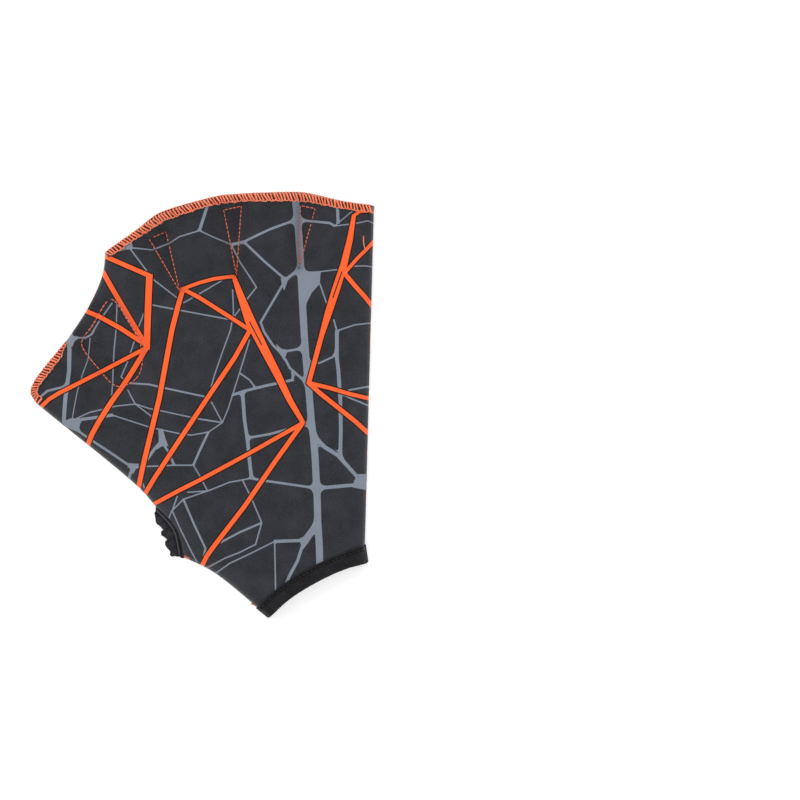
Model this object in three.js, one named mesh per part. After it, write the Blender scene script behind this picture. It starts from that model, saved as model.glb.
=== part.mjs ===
// A fingerless webbed swim glove for the left hand, lying flat with its palm up.
// Two fan-shaped cloth panels are sewn round, open for the fingers, the thumb and the wrist.
// Units are millimetres: +X to the little finger, +Y to the fingers, +Z up from the palm.

import * as THREE from "three";

// Driving dimensions
const gloveWidth = 171.5;
const gloveLength = 213.5;
const clothWall = 1.5;
const seamWall = 1.0;
const seamRound = 1.2;
const seamGap = 0.3;
const channelHeight = 7.0;
const palmSwell = 2.3;
const palmSwellRadius = 46;
const seamRun = 14;
const webRun = 10;
const loopRun = 12;
const mouthRun = 5;
const mouthMargin = 1;
const slopeStep = 0.5;
const threadDepth = 3.6;
const threadThickness = 0.5;
const threadClearance = 0.15;
const bindingDepth = 8.2;
const bindingThickness = 1.0;
const bindingClearance = 0.15;
const gatherWidth = 7;
const gatherThickness = 1.2;
const gatherRipple = 0.9;

// How finely the shapes are divided: a panel's rings run from its edge to the spokes' inner ends,
// then over the run beyond the webs' tips, and then to the hub
const panelSteps = {
  palm: { outer: 5, beyond: 2, inner: 2 },
  back: { outer: 3, beyond: 0, inner: 1 },
};
const bindingTurns = 3;
const gatherRipples = 9;
const gatherStepsPerRipple = 4;
const loopSteps = 24;

// Shares: how far the binding stands out round the seam, the steepest slope that thickens the
// cloth, the last stretch of the trim over which it narrows, the width it ends with there, and
// how much of its width its ripples take
const bindingEndBulge = 0.45;
const steepest = 1.6;
const gatherTaper = 0.3;
const gatherTip = 0.3;
const gatherScallop = 0.07;
const gatherShares = [0, 0.5, 1];

// Places round the outline, clockwise from the index finger, all as shares of width and length.
// in_x and in_y end the spoke that runs inward from a place, spokes is how many run from it to
// the next place, and edge is what starts there. short, where it isn't 0, is how far the palm's
// edge stops short of the back's.
const outline = [
  { place: "index_corner", x: 0.216, y: 0.858, in_x: 0.347, in_y: 0.718, spokes: 4, edge: "finger" },
  { place: "index_web_left", x: 0.321, y: 0.92, in_x: 0.42, in_y: 0.765, short: 0.005, spokes: 1 },
  { place: "index_web_middle", x: 0.35, y: 0.939, in_x: 0.433, in_y: 0.766, short: 0.008, spokes: 1 },
  { place: "index_web_right", x: 0.38, y: 0.953, in_x: 0.446, in_y: 0.769, short: 0.008, spokes: 5 },
  { place: "middle_web_left", x: 0.555, y: 0.992, in_x: 0.585, in_y: 0.802, short: 0.004, spokes: 1 },
  { place: "middle_web_middle", x: 0.586, y: 0.994, in_x: 0.598, in_y: 0.802, short: 0.004, spokes: 1 },
  { place: "middle_web_right", x: 0.618, y: 0.996, in_x: 0.611, in_y: 0.803, short: 0.004, spokes: 5 },
  { place: "ring_web_left", x: 0.786, y: 0.999, in_x: 0.768, in_y: 0.82, short: 0.006, spokes: 1 },
  { place: "ring_web_middle", x: 0.813, y: 0.996, in_x: 0.781, in_y: 0.82, short: 0.005, spokes: 1 },
  { place: "ring_web_right", x: 0.841, y: 0.991, in_x: 0.794, in_y: 0.818, short: 0.004, spokes: 2 },
  { place: "little_bend", x: 0.915, y: 0.977, in_x: 0.857, in_y: 0.802, short: 0.002, spokes: 3 },
  { place: "little_corner", x: 1, y: 0.967, in_x: 0.915, in_y: 0.77, spokes: 10, edge: "seam" },
  { place: "wrist_little", x: 0.972, y: 0.133, in_x: 0.857, in_y: 0.29, spokes: 3, edge: "wrist" },
  { place: "wrist_upper", x: 0.872, y: 0.102, in_x: 0.82, in_y: 0.266, spokes: 4 },
  { place: "wrist_lower", x: 0.76, y: 0.05, in_x: 0.77, in_y: 0.246, spokes: 3 },
  { place: "wrist_thumb", x: 0.695, y: 0.003, in_x: 0.722, in_y: 0.232, spokes: 3, edge: "seam" },
  { place: "lower_side", x: 0.531, y: 0.11, in_x: 0.653, in_y: 0.255, spokes: 2 },
  { place: "vent_low", x: 0.446, y: 0.144, in_x: 0.58, in_y: 0.278, spokes: 3, edge: "vent" },
  { place: "vent_bend", x: 0.423, y: 0.211, in_x: 0.557, in_y: 0.313, spokes: 3 },
  { place: "vent_high", x: 0.364, y: 0.262, in_x: 0.536, in_y: 0.349, spokes: 2, edge: "seam" },
  { place: "lower_shoulder", x: 0.318, y: 0.304, in_x: 0.493, in_y: 0.384, spokes: 6 },
  { place: "thumb_low", x: 0.019, y: 0.502, in_x: 0.289, in_y: 0.47, spokes: 2, edge: "thumb" },
  { place: "thumb_turn", x: 0.001, y: 0.533, in_x: 0.292, in_y: 0.484, spokes: 5 },
  { place: "thumb_high", x: 0.102, y: 0.65, in_x: 0.312, in_y: 0.55, spokes: 2, edge: "seam" },
  { place: "crotch", x: 0.163, y: 0.725, in_x: 0.34, in_y: 0.641, spokes: 3 },
  { place: "index_side", x: 0.208, y: 0.806, in_x: 0.345, in_y: 0.69, spokes: 1 },
];

// Where the back panel's edge crosses behind the bite that the palm has beside the wrist
const backVent = { x: 0.4, y: 0.205 };

// Where all the spokes meet, and where the palm stands highest
const hub = { x: 0.638, y: 0.512 };
const palmCrown = { x: 0.66, y: 0.36 };

// The webs between the fingers, wedges sewn flat, with two upper corners and a tip each
const webs = {
  index_middle: [
    { corner: "left", x: 0.344, y: 0.888 },
    { corner: "right", x: 0.394, y: 0.904 },
    { corner: "tip", x: 0.433, y: 0.767 },
  ],
  middle_ring: [
    { corner: "left", x: 0.563, y: 0.957 },
    { corner: "right", x: 0.615, y: 0.965 },
    { corner: "tip", x: 0.598, y: 0.802 },
  ],
  ring_little: [
    { corner: "left", x: 0.785, y: 0.965 },
    { corner: "right", x: 0.828, y: 0.958 },
    { corner: "tip", x: 0.781, y: 0.821 },
  ],
};

// The drop-shaped loop of stitches between the thumb and the index finger
const loopKnots = [
  { knot: "tip", x: 0.233, y: 0.748 },
  { knot: "upper_right", x: 0.28, y: 0.702 },
  { knot: "right", x: 0.324, y: 0.629 },
  { knot: "lower_right", x: 0.312, y: 0.564 },
  { knot: "bottom", x: 0.254, y: 0.543 },
  { knot: "lower_left", x: 0.192, y: 0.592 },
  { knot: "left", x: 0.149, y: 0.646 },
  { knot: "upper_left", x: 0.178, y: 0.688 },
];

const printedCloth = { color: 0x38383c, roughness: 0.9, metalness: 0 };
const overlockThread = { color: 0xf0663a, roughness: 0.6, metalness: 0 };
const blackKnit = { color: 0x1d1d20, roughness: 0.85, metalness: 0 };

// A corner is square if the seam leaves the open edge at more than about this sine
const squareCorner = 0.7;

const up = new THREE.Vector3(0, 0, 1);
const threadReach = threadClearance + threadThickness;
const bindingReach = bindingClearance + bindingThickness;
const threadFold = { clearance: threadClearance, thickness: threadThickness, reach: threadReach };
const bindingFold = {
  clearance: bindingClearance,
  thickness: bindingThickness,
  reach: bindingReach,
};
// What is folded over each open edge, and the depths at which the cloth under it has points
const openEdges = {
  finger: { fold: threadFold, depths: [0, threadDepth] },
  thumb: { fold: threadFold, depths: [0, threadDepth] },
  wrist: { fold: bindingFold, depths: [0, bindingDepth / 2, bindingDepth] },
};

function place(share) {
  return new THREE.Vector3(share.x * gloveWidth, share.y * gloveLength, 0);
}

// The outline's edges, each with its rows and the first row of the next edge
function edgeRuns(rows) {
  const runs = [];
  rows.forEach((row, index) => {
    if (row.edge) runs.push({ edge: row.edge, rows: [] });
    runs.at(-1).rows.push(row);
    const next = rows[(index + 1) % rows.length];
    if (next.edge) runs.at(-1).rows.push(next);
  });
  return runs;
}

// Points along one edge: the outline, the inner end of the spoke and how much the palm is short
function edgePoints({ edge, rows }) {
  const outer = rows.map((row) => place(row).setZ((row.short ?? 0) * gloveLength));
  const inner = rows.map((row) => place({ x: row.in_x, y: row.in_y }));
  const outerCurve = new THREE.CatmullRomCurve3(outer, false, "centripetal");
  const innerCurve = new THREE.CatmullRomCurve3(inner, false, "centripetal");
  const points = [];
  for (let row = 0; row < rows.length - 1; row += 1) {
    for (let step = 0; step < rows[row].spokes; step += 1) {
      const along = (row + step / rows[row].spokes) / (rows.length - 1);
      const at = outerCurve.getPoint(along);
      points.push({
        edge,
        at: at.clone().setZ(0),
        ahead: outerCurve.getTangent(along).setZ(0).normalize(),
        short: at.z,
        end: innerCurve.getPoint(along),
      });
    }
  }
  return { edge, points, finish: outerCurve.getTangent(1).setZ(0).normalize() };
}

// Every spoke of a panel. On an open edge it starts with a strip of points under the fold, which
// at a square corner runs along the seam.
function makeSpokes(rows, isPalm) {
  const runs = edgeRuns(rows).map(edgePoints);
  const all = runs.flatMap(({ points }) => points);
  runs.forEach((run, index) => {
    const before = runs[(index + runs.length - 1) % runs.length];
    run.points[0].before = before.edge;
    run.points[0].arriving = before.finish;
  });
  all.forEach((spoke, index) => {
    const openEdge = openEdges[spoke.edge] ?? openEdges[spoke.before];
    spoke.strip = [];
    spoke.foot = spoke.at;
    if (!openEdge) return;
    const isEnd = !openEdges[spoke.edge];
    const along = isEnd ? spoke.arriving : spoke.ahead;
    const inward = new THREE.Vector3().crossVectors(along, up);
    const way = spoke.end.clone().sub(spoke.at).normalize();
    if (spoke.before) {
      const neighbour = all[(index + (isEnd ? 1 : all.length - 1)) % all.length];
      const sewn = neighbour.at.clone().sub(spoke.at).normalize();
      spoke.square = sewn.dot(inward) > squareCorner;
      if (spoke.square) way.copy(sewn);
    }
    way.multiplyScalar(1 / way.dot(inward));
    const inset = openEdge.fold.reach + (isPalm ? spoke.short : 0);
    spoke.foot = spoke.at.clone().addScaledVector(way, inset);
    spoke.strip = openEdge.depths.map((depth) => spoke.foot.clone().addScaledVector(way, depth));
    spoke.fold = openEdge.fold;
    spoke.depths = openEdge.depths;
    spoke.way = way;
    spoke.isEnd = isEnd;
  });
  return all;
}

const backRows = outline.map((row) => (row.place === "vent_bend" ? { ...row, ...backVent } : row));
const spokesOf = { palm: makeSpokes(outline, true), back: makeSpokes(backRows, false) };

// Stretches of the back's edge, which both panels take their heights from
function stretches(edges) {
  const spokes = spokesOf.back;
  const kept = [];
  spokes.forEach((spoke, index) => {
    if (edges.includes(spoke.edge)) kept.push([spoke.foot, spokes[(index + 1) % spokes.length].foot]);
  });
  return kept;
}

const sewnEdges = stretches(["seam", "vent"]);
const palmVentEdge = spokesOf.palm
  .map((spoke, index) => [spoke, spokesOf.palm[(index + 1) % spokesOf.palm.length]])
  .filter(([spoke]) => spoke.edge === "vent")
  .map(([spoke, next]) => [spoke.foot, next.foot]);
const fingerAndThumbEdges = stretches(["finger", "thumb"]);
const wristEdges = stretches(["wrist"]);
const webWedges = Object.values(webs).map((corners) => corners.map(place));
const loopCurve = new THREE.CatmullRomCurve3(loopKnots.map(place), true, "centripetal");
const loopLine = loopCurve.getSpacedPoints(loopSteps).slice(0, -1);

function distanceToStretch(x, y, [a, b]) {
  const runX = b.x - a.x;
  const runY = b.y - a.y;
  const along = ((x - a.x) * runX + (y - a.y) * runY) / (runX * runX + runY * runY);
  const share = THREE.MathUtils.clamp(along, 0, 1);
  return Math.hypot(x - a.x - share * runX, y - a.y - share * runY);
}

function distanceTo(x, y, edges) {
  return Math.min(...edges.map((edge) => distanceToStretch(x, y, edge)));
}

function isInside(x, y, ring) {
  let inside = false;
  ring.forEach((a, index) => {
    const b = ring[(index + 1) % ring.length];
    const crosses = a.y > y !== b.y > y;
    if (crosses && x < a.x + ((y - a.y) * (b.x - a.x)) / (b.y - a.y)) inside = !inside;
  });
  return inside;
}

function distanceToArea(x, y, ring) {
  if (isInside(x, y, ring)) return 0;
  return distanceTo(x, y, ring.map((corner, index) => [corner, ring[(index + 1) % ring.length]]));
}

// From 0 at a seam to 1 at the end of its run, as a shallow arch
function rise(distance, run) {
  const share = Math.min(distance / run, 1);
  return 1 - (1 - share) ** 2;
}

// 1 within the depth of a band on an open edge, and 0 a run further in
function nearEdge(distance, depth) {
  const start = depth + mouthMargin;
  return 1 - THREE.MathUtils.smoothstep(distance, start, start + mouthRun);
}

// How far the back panel is lifted, so that the bands on its edges rest on the ground
function backLift(x, y) {
  const thread = threadReach * nearEdge(distanceTo(x, y, fingerAndThumbEdges), threadDepth);
  const binding = bindingReach * nearEdge(distanceTo(x, y, wristEdges), bindingDepth);
  return Math.max(thread, binding);
}

// Height of the hollow between the panels: the least gap, and the arch over it
function hollow(x, y) {
  const thread = 2 * threadReach * nearEdge(distanceTo(x, y, fingerAndThumbEdges), threadDepth);
  const binding = 2 * bindingReach * nearEdge(distanceTo(x, y, wristEdges), bindingDepth);
  const crown = place(palmCrown);
  const fromCrown = Math.hypot(x - crown.x, y - crown.y) / palmSwellRadius;
  const full = channelHeight + palmSwell * Math.exp(-fromCrown * fromCrown);
  const sewn = rise(Math.min(distanceTo(x, y, sewnEdges), distanceTo(x, y, palmVentEdge)), seamRun);
  const webbed = webWedges.map((wedge) => rise(distanceToArea(x, y, wedge), webRun));
  const looped = rise(distanceToArea(x, y, loopLine), loopRun);
  const arch = webbed.reduce((product, share) => product * share, sewn * looped);
  const mouth = Math.max(thread, binding);
  return seamGap + mouth + (full - mouth) * arch;
}

// The cloth is as thick on a slope as it is where it lies level
function slopeShare(x, y) {
  const slopeX = (hollow(x + slopeStep, y) - hollow(x - slopeStep, y)) / (2 * slopeStep);
  const slopeY = (hollow(x, y + slopeStep) - hollow(x, y - slopeStep)) / (2 * slopeStep);
  return Math.min(Math.hypot(1, slopeX, slopeY), steepest);
}

function wallAt(x, y) {
  const fromSeam = distanceTo(x, y, sewnEdges) / seamRound;
  return seamWall + (clothWall - seamWall) * Math.min(fromSeam, 1);
}

const backSkin = {
  inner: (x, y) => clothWall + backLift(x, y),
  outer: (x, y) => clothWall + backLift(x, y) - wallAt(x, y),
};
const palmSkin = {
  inner: (x, y) => backSkin.inner(x, y) + hollow(x, y),
  outer: (x, y) => palmSkin.inner(x, y) + wallAt(x, y) * slopeShare(x, y),
};

// One spoke's points from the edge to the hub, without the hub itself
function spokePoints(spoke, steps) {
  const strip = spoke.strip.slice(0, -1);
  const start = spoke.strip.at(-1) ?? spoke.at;
  const way = spoke.end.clone().sub(start).normalize();
  const rounded = start.clone().addScaledVector(way, seamRound);
  const points = [...strip, start, rounded];
  for (let step = 1; step <= steps.outer; step += 1) {
    points.push(rounded.clone().lerp(spoke.end, step / steps.outer));
  }
  const centre = place(hub);
  const onward = centre.clone().sub(spoke.end).normalize();
  for (let step = 1; step <= steps.beyond; step += 1) {
    points.push(spoke.end.clone().addScaledVector(onward, (webRun * step) / steps.beyond));
  }
  const last = points.at(-1);
  for (let step = 1; step < steps.inner; step += 1) {
    points.push(last.clone().lerp(centre, step / steps.inner));
  }
  return points;
}

function meshOf(name, positions, triangles, finish) {
  const geometry = new THREE.BufferGeometry();
  geometry.setAttribute("position", new THREE.Float32BufferAttribute(positions, 3));
  geometry.setIndex(triangles);
  geometry.computeVertexNormals();
  const mesh = new THREE.Mesh(geometry, new THREE.MeshStandardMaterial(finish));
  mesh.name = name;
  return mesh;
}

// One skin's triangles, wound clockwise from above, and the numbers of its points round the edge
function skinOf(spokes, rows) {
  const first = [];
  let size = 0;
  rows.forEach((points) => {
    first.push(size);
    size += points.length;
  });
  const id = (spoke, point) => first[spoke] + point;
  const hubPoint = size;
  const triangles = [];
  const border = [];
  const addQuad = (a, b, c, d) => triangles.push(a, b, c, a, c, d);
  spokes.forEach((spoke, here) => {
    const next = (here + 1) % spokes.length;
    const cut = Math.max(spoke.strip.length - 1, 0);
    const nextCut = Math.max(spokes[next].strip.length - 1, 0);
    const rings = rows[here].length - cut;
    for (let ring = 0; ring < rings - 1; ring += 1) {
      const [a, b] = [id(here, cut + ring), id(next, nextCut + ring)];
      addQuad(a, b, b + 1, a + 1);
    }
    triangles.push(id(here, cut + rings - 1), id(next, nextCut + rings - 1), hubPoint);
    const inStrip = Boolean(openEdges[spoke.edge]);
    for (let ring = 0; ring < cut; ring += 1) {
      const [a, b] = [id(here, ring), id(next, ring)];
      if (inStrip) addQuad(a, b, b + 1, a + 1);
      else if (!spoke.square) triangles.push(a, id(next, nextCut), a + 1);
    }
    for (let ring = 0; ring < nextCut && !inStrip && !spokes[next].square; ring += 1) {
      triangles.push(id(here, cut), id(next, ring), id(next, ring + 1));
    }
    const chain = Array.from({ length: cut + 1 }, (_, point) => id(here, point));
    if (!spoke.square) border.push(chain[0]);
    else if (spoke.isEnd) border.push(...chain);
    else border.push(...chain.reverse());
  });
  return { triangles, border };
}

// A panel is two skins over the same spokes, joined round the edge
function makePanel(name, spokes, steps, lower, upper) {
  const rows = spokes.map((spoke) => spokePoints(spoke, steps));
  const flat = [...rows.flat(), place(hub)];
  const positions = [];
  flat.forEach(({ x, y }) => positions.push(x, y, lower(x, y)));
  flat.forEach(({ x, y }) => positions.push(x, y, upper(x, y)));
  const skin = skinOf(spokes, rows);
  const triangles = [...skin.triangles];
  for (let corner = 0; corner < skin.triangles.length; corner += 3) {
    const [a, b, c] = skin.triangles.slice(corner, corner + 3);
    triangles.push(a + flat.length, c + flat.length, b + flat.length);
  }
  skin.border.forEach((low, index) => {
    const lowNext = skin.border[(index + 1) % skin.border.length];
    const [high, highNext] = [low + flat.length, lowNext + flat.length];
    triangles.push(high, highNext, lowNext, high, lowNext, low);
  });
  return meshOf(name, positions, triangles, printedCloth);
}

// The section of a band folded over an edge: out over the outer skin, round the fold, back under
// the inner skin, and along the slot that holds the cloth
function foldedSection(spoke, skin, facing) {
  const { clearance, reach } = spoke.fold;
  const points = [];
  const add = (depth, side, offset) => {
    const at = spoke.foot.clone().addScaledVector(spoke.way, depth);
    const edge = spoke.foot.clone().addScaledVector(spoke.way, Math.max(depth, 0));
    const height = skin[side](edge.x, edge.y) + (side === "outer" ? facing : -facing) * offset;
    points.push({ at: at.setZ(height), depth });
  };
  const inward = spoke.depths;
  const outward = inward.toReversed();
  outward.forEach((depth) => add(depth, "outer", reach));
  add(-reach, "outer", 0);
  add(-reach, "inner", 0);
  inward.forEach((depth) => add(depth, "inner", reach));
  outward.slice(0, -1).forEach((depth) => add(depth, "inner", clearance));
  add(-clearance, "inner", clearance);
  add(-clearance, "outer", clearance);
  inward.slice(1).forEach((depth) => add(depth, "outer", clearance));
  return points;
}

// Joins sections into a closed body. Its faces are divided the same way as the panel's, so that
// the clearance to the cloth stays even; backward sections follow the panel the other way.
function sweep(name, sections, closed, finish) {
  const size = sections[0].points.length;
  const positions = [];
  sections.forEach(({ points }) => points.forEach(({ at }) => positions.push(at.x, at.y, at.z)));
  const triangles = [];
  const spans = closed ? sections.length : sections.length - 1;
  for (let span = 0; span < spans; span += 1) {
    const next = (span + 1) % sections.length;
    const backward = Boolean(sections[span].backward && sections[next].backward);
    for (let side = 0; side < size; side += 1) {
      const after = (side + 1) % size;
      const [a, b] = [span * size + side, next * size + side];
      const [d, c] = [span * size + after, next * size + after];
      const deeper = sections[span].points[after].depth > sections[span].points[side].depth;
      if (deeper !== backward) triangles.push(a, b, c, a, c, d);
      else triangles.push(a, b, d, b, c, d);
    }
  }
  if (!closed) {
    [0, sections.length - 1].forEach((section) => {
      const flat = sections[section].points.map(({ at, depth }) => new THREE.Vector2(depth, at.z));
      THREE.ShapeUtils.triangulateShape(flat, []).forEach(([a, b, c]) => {
        const turn = THREE.ShapeUtils.area([flat[a], flat[b], flat[c]]) > 0;
        const whole = THREE.ShapeUtils.area(flat) > 0;
        const corners = (turn === whole) === (section === 0) ? [a, b, c] : [a, c, b];
        triangles.push(...corners.map((corner) => section * size + corner));
      });
    });
  }
  return meshOf(name, positions, triangles, finish);
}

function spokesAlong(panel, edge) {
  const spokes = spokesOf[panel];
  const first = spokes.findIndex((spoke) => spoke.edge === edge);
  const count = spokes.filter((spoke) => spoke.edge === edge).length;
  return Array.from({ length: count + 1 }, (_, step) => spokes[(first + step) % spokes.length]);
}

function makeOverlock(edge, panel) {
  const skin = panel === "palm" ? palmSkin : backSkin;
  const facing = panel === "palm" ? 1 : -1;
  const sections = spokesAlong(panel, edge).map((spoke) => ({
    points: foldedSection(spoke, skin, facing),
  }));
  if (panel === "back") sections.forEach((section) => section.points.reverse());
  return sweep(`${edge}_edge_overlock_${panel}`, sections, false, overlockThread);
}

// The knit binding is one ring: along the palm's wrist edge, round the seam, and along the back's
function makeBinding() {
  const sectionsOf = (panel, skin, facing) =>
    spokesAlong(panel, "wrist").map((spoke) => foldedSection(spoke, skin, facing));
  const palm = sectionsOf("palm", palmSkin, 1);
  const back = sectionsOf("back", backSkin, -1).toReversed();
  const turnBetween = (from, to, outward) => {
    const turned = [];
    for (let turn = 1; turn <= bindingTurns; turn += 1) {
      const angle = (turn / (bindingTurns + 1)) * Math.PI;
      const points = from.map(({ at, depth }, index) => {
        const middle = at.clone().lerp(to[index].at, 0.5);
        const half = at.clone().sub(to[index].at).multiplyScalar(0.5);
        const side = outward.clone().multiplyScalar(half.length() * bindingEndBulge * Math.sin(angle));
        return { at: middle.addScaledVector(half, Math.cos(angle)).add(side), depth };
      });
      turned.push({ points });
    }
    return turned;
  };
  const wrist = spokesAlong("palm", "wrist");
  const thumbSide = wrist.at(-1).foot.clone().sub(wrist.at(-2).foot).normalize();
  const littleSide = wrist[0].foot.clone().sub(wrist[1].foot).normalize();
  const sections = [
    ...palm.map((points) => ({ points })),
    ...turnBetween(palm.at(-1), back[0], thumbSide),
    ...back.map((points) => ({ points, backward: true })),
    ...turnBetween(back.at(-1), palm[0], littleSide),
  ];
  return sweep("wrist_binding", sections, true, blackKnit);
}

// The gathered elastic stands out from the palm's bite edge in ripples that grow outward
function makeGatheredTrim() {
  const feet = spokesAlong("palm", "vent").map((spoke) => spoke.foot);
  const curve = new THREE.CatmullRomCurve3(feet, false, "centripetal");
  const steps = gatherRipples * gatherStepsPerRipple;
  const sections = [];
  for (let step = 0; step <= steps; step += 1) {
    const along = step / steps;
    const at = curve.getPoint(along);
    const outward = new THREE.Vector3().crossVectors(up, curve.getTangent(along)).normalize();
    const wave = 0.5 - 0.5 * Math.cos(2 * Math.PI * gatherRipples * along);
    const narrowed = Math.min(gatherTip + ((1 - gatherTip) * (1 - along)) / gatherTaper, 1);
    const width = gatherWidth * narrowed * (1 - gatherScallop * (1 - wave));
    const points = [];
    const add = (share, upper) => {
      const point = at.clone().addScaledVector(outward, seamGap + share * width);
      const lift = gatherRipple * wave * share + (upper ? gatherThickness : 0);
      points.push({ at: point.setZ(clothWall + seamGap + lift), depth: -share });
    };
    gatherShares.forEach((share) => add(share, true));
    gatherShares.toReversed().forEach((share) => add(share, false));
    sections.push({ points });
  }
  return sweep("gathered_trim", sections, false, blackKnit);
}

const glove = new THREE.Group();
glove.add(
  makePanel("palm_panel", spokesOf.palm, panelSteps.palm, palmSkin.inner, palmSkin.outer),
  makePanel("back_panel", spokesOf.back, panelSteps.back, backSkin.outer, backSkin.inner),
  makeOverlock("finger", "palm"),
  makeOverlock("finger", "back"),
  makeOverlock("thumb", "palm"),
  makeOverlock("thumb", "back"),
  makeBinding(),
  makeGatheredTrim(),
);

// The origin is under the middle of the glove, on the ground
const box = new THREE.Box3().setFromObject(glove);
const middle = box.getCenter(new THREE.Vector3());
glove.position.set(-middle.x, -middle.y, -box.min.z);

export default glove;
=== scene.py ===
"""A webbed swim glove for the left hand, lying flat with its palm up."""

import math
import random

import bmesh
import bpy
import numpy as np
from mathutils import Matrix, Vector
from mathutils.geometry import delaunay_2d_cdt


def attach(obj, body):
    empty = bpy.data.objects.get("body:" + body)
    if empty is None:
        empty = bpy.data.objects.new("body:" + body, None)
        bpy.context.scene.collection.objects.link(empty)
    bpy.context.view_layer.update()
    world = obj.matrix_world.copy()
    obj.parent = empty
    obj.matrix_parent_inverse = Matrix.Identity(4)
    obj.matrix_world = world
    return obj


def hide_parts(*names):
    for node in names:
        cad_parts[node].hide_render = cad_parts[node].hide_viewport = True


# Shapes are worked out in millimetres, in the frame's place, and made metres with the mesh
MM = 0.001

# The photograph: a pixel's width in millimetres, its size, and the pixel over the frame's origin
PIXEL = 0.5
PHOTO_SIZE = 800
ORIGIN_PIXEL = np.array((202.67, 405.71))

# Cloth, thread and hollow, as in the solids
CLOTH_WALL = 1.5
SEAM_WALL = 1.0
SEAM_ROUND = 1.2
SEAM_GAP = 0.3
CHANNEL_HEIGHT = 7.0
PALM_SWELL = 2.3
PALM_SWELL_RADIUS = 46
SEAM_RUN = 14
WEB_RUN = 10
LOOP_RUN = 12
MOUTH_RUN = 5
MOUTH_MARGIN = 1
THREAD_DEPTH = 3.6
THREAD_REACH = 0.65
BINDING_DEPTH = 8.2
BINDING_REACH = 1.15
STEEPEST = 1.6
SLOPE_STEP = 0.5

# The rolled edge of the sewn seam, and the groove that a line of stitches pulls into the cloth
ROLL_RADIUS = 1.8
SEAM_HEIGHT = 1.65
SEAM_SLIT = 0.06
GROOVE_DEPTH = 0.35
GROOVE_WIDTH = 0.8

# How finely the cloth is divided: its grid and its edges' points, the rows of points along edges and
# along stitches with the room that others leave them, and the spacing on stitched lines and folds
CLOTH_GRID = 2.2
EDGE_SPACING = 1.5
EDGE_RINGS = (0.12, 0.35, 0.75, 1.3, 2.0)
EDGE_CLEAR = 2.8
GROOVE_RINGS = (-1.4, -0.7, 0, 0.7, 1.4)
STITCH_CLEAR = 2
CLEAR_SHARE = 0.9
LINE_SPACING = 1.2
LOOP_SPACING = 3
FOLD_SPACING = 2
# The cutting of the print into the cloth: its tolerance, corners closer than this made one, the
# thinnest sliver kept, and how far over its own area a ring may be filled
CUT_TOLERANCE = 0.01
CUT_MERGE = 0.04
CUT_SLIVER = 0.02
SPILL_SHARE = 1.5
SPILL_AREA = 1

# The outline in the photograph's pixels, clockwise from the index finger's corner: one row for
# each edge, with the points that its curve runs through
OUTLINE = (
    ("finger", (
        (105.1, 252.2), (141.1, 225.7), (151, 217.6), (161.3, 211.6), (221.4, 194.9), (232, 194.1),
        (243, 193.2), (300.6, 191.9), (309.9, 193.2), (319.5, 195.3), (344.8, 201.3), (374, 205.6),
    )),
    ("seam", ((374, 205.6), (364.4, 562.1))),
    ("wrist", ((364.4, 562.1), (330.1, 575.4), (291.7, 597.6), (269.4, 617.7))),
    ("seam", ((269.4, 617.7), (213.1, 572), (184, 557.4))),
    ("vent", ((184, 557.4), (176.1, 528.8), (155.9, 507))),
    ("seam", ((155.9, 507), (140.1, 489), (37.5, 404.4))),
    ("thumb", ((37.5, 404.4), (31.3, 391.1), (66, 341.1))),
    ("seam", ((66, 341.1), (86.9, 309.1), (102.3, 274.4), (105.1, 252.2))),
)
# Where the back's edge runs at the vent, and how far in pixels the palm's finger edge stops short
BACK_VENT_BEND = (168.2, 531.4)
PALM_SHORT = (0, 2.1, 3.4, 3.4, 1.7, 1.7, 1.7, 2.6, 2.1, 1.7, 0.9, 0)
PALM_CROWN = (257.4, 465.1)

# Stitched lines in pixels: the three webs' bars and sides, and the loop beside the thumb
WEBS = (
    ((149, 239), (166, 231.5), (180, 292)),
    ((223.5, 210), (241.5, 206), (236.5, 276)),
    ((300.3, 205.5), (315.3, 208.5), (299, 268)),
)
THUMB_LOOP = (
    (111, 299), (127, 319), (142, 350), (138, 376.5), (118, 386.8), (97, 367), (81.3, 343), (92, 326),
)

# The palm cloth's soft folds: height and width in millimetres, and the pixels that each runs through
FOLDS = (
    (-0.7, 2.4, (244, 256), (260, 274), (274, 294), (282, 316), (286, 333)),
    (0.5, 3.0, (254, 250), (270, 268), (284, 290), (292, 316)),
    (-0.22, 2.2, (209, 207), (215, 219), (223, 233)),
    (-0.45, 0.9, (107, 296), (92, 321), (83, 340)),
    (0.35, 2.6, (97, 284), (84, 308), (70, 336)),
    (-0.22, 1.8, (360, 214), (361, 250), (359, 290)),
    (0.25, 3.0, (120, 335), (118, 350), (112, 366)),
)
# The gathered elastic's outer edge in pixels, from the wrist's side to the thumb's, then how far its
# base reaches under the cloth, its height, its pleats with their overtone, and its rim's droop
RUFFLE_RIM = (
    (184, 557.5), (176, 556.5), (169.6, 555.3), (170, 552), (166.5, 547.5), (164.7, 544), (167.4, 541),
    (165.5, 538), (160.8, 535), (163, 530.5), (160.5, 527), (156, 523), (155, 515), (155.8, 507.5),
)
RUFFLE_INSET = 0.9
RUFFLE_HEIGHT = 2.5
RUFFLE_PLEATS = 6.5
RUFFLE_LIFT = 0.6
RUFFLE_OVERTONE = (0.4, 2.3)
RUFFLE_DROOP = (0.5, 0.7)
RUFFLE_WALL = 0.8
RUFFLE_GRID = (90, 10)
RUFFLE_SPACING = 0.3
# The cord along the gathered elastic: how far out from the cloth's edge it lies at the wrist's and
# at the thumb's side, with a crease on each side of it
CORD_OUT = (2.0, 0.8)
CORD_SPACING = 1.5
CORD_RADIUS = 0.36
CORD_HEIGHT = 3.0
CREASE_OUT = 0.9
CREASE_DEPTH = 1.6
CREASE_WIDTH = 0.5
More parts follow.
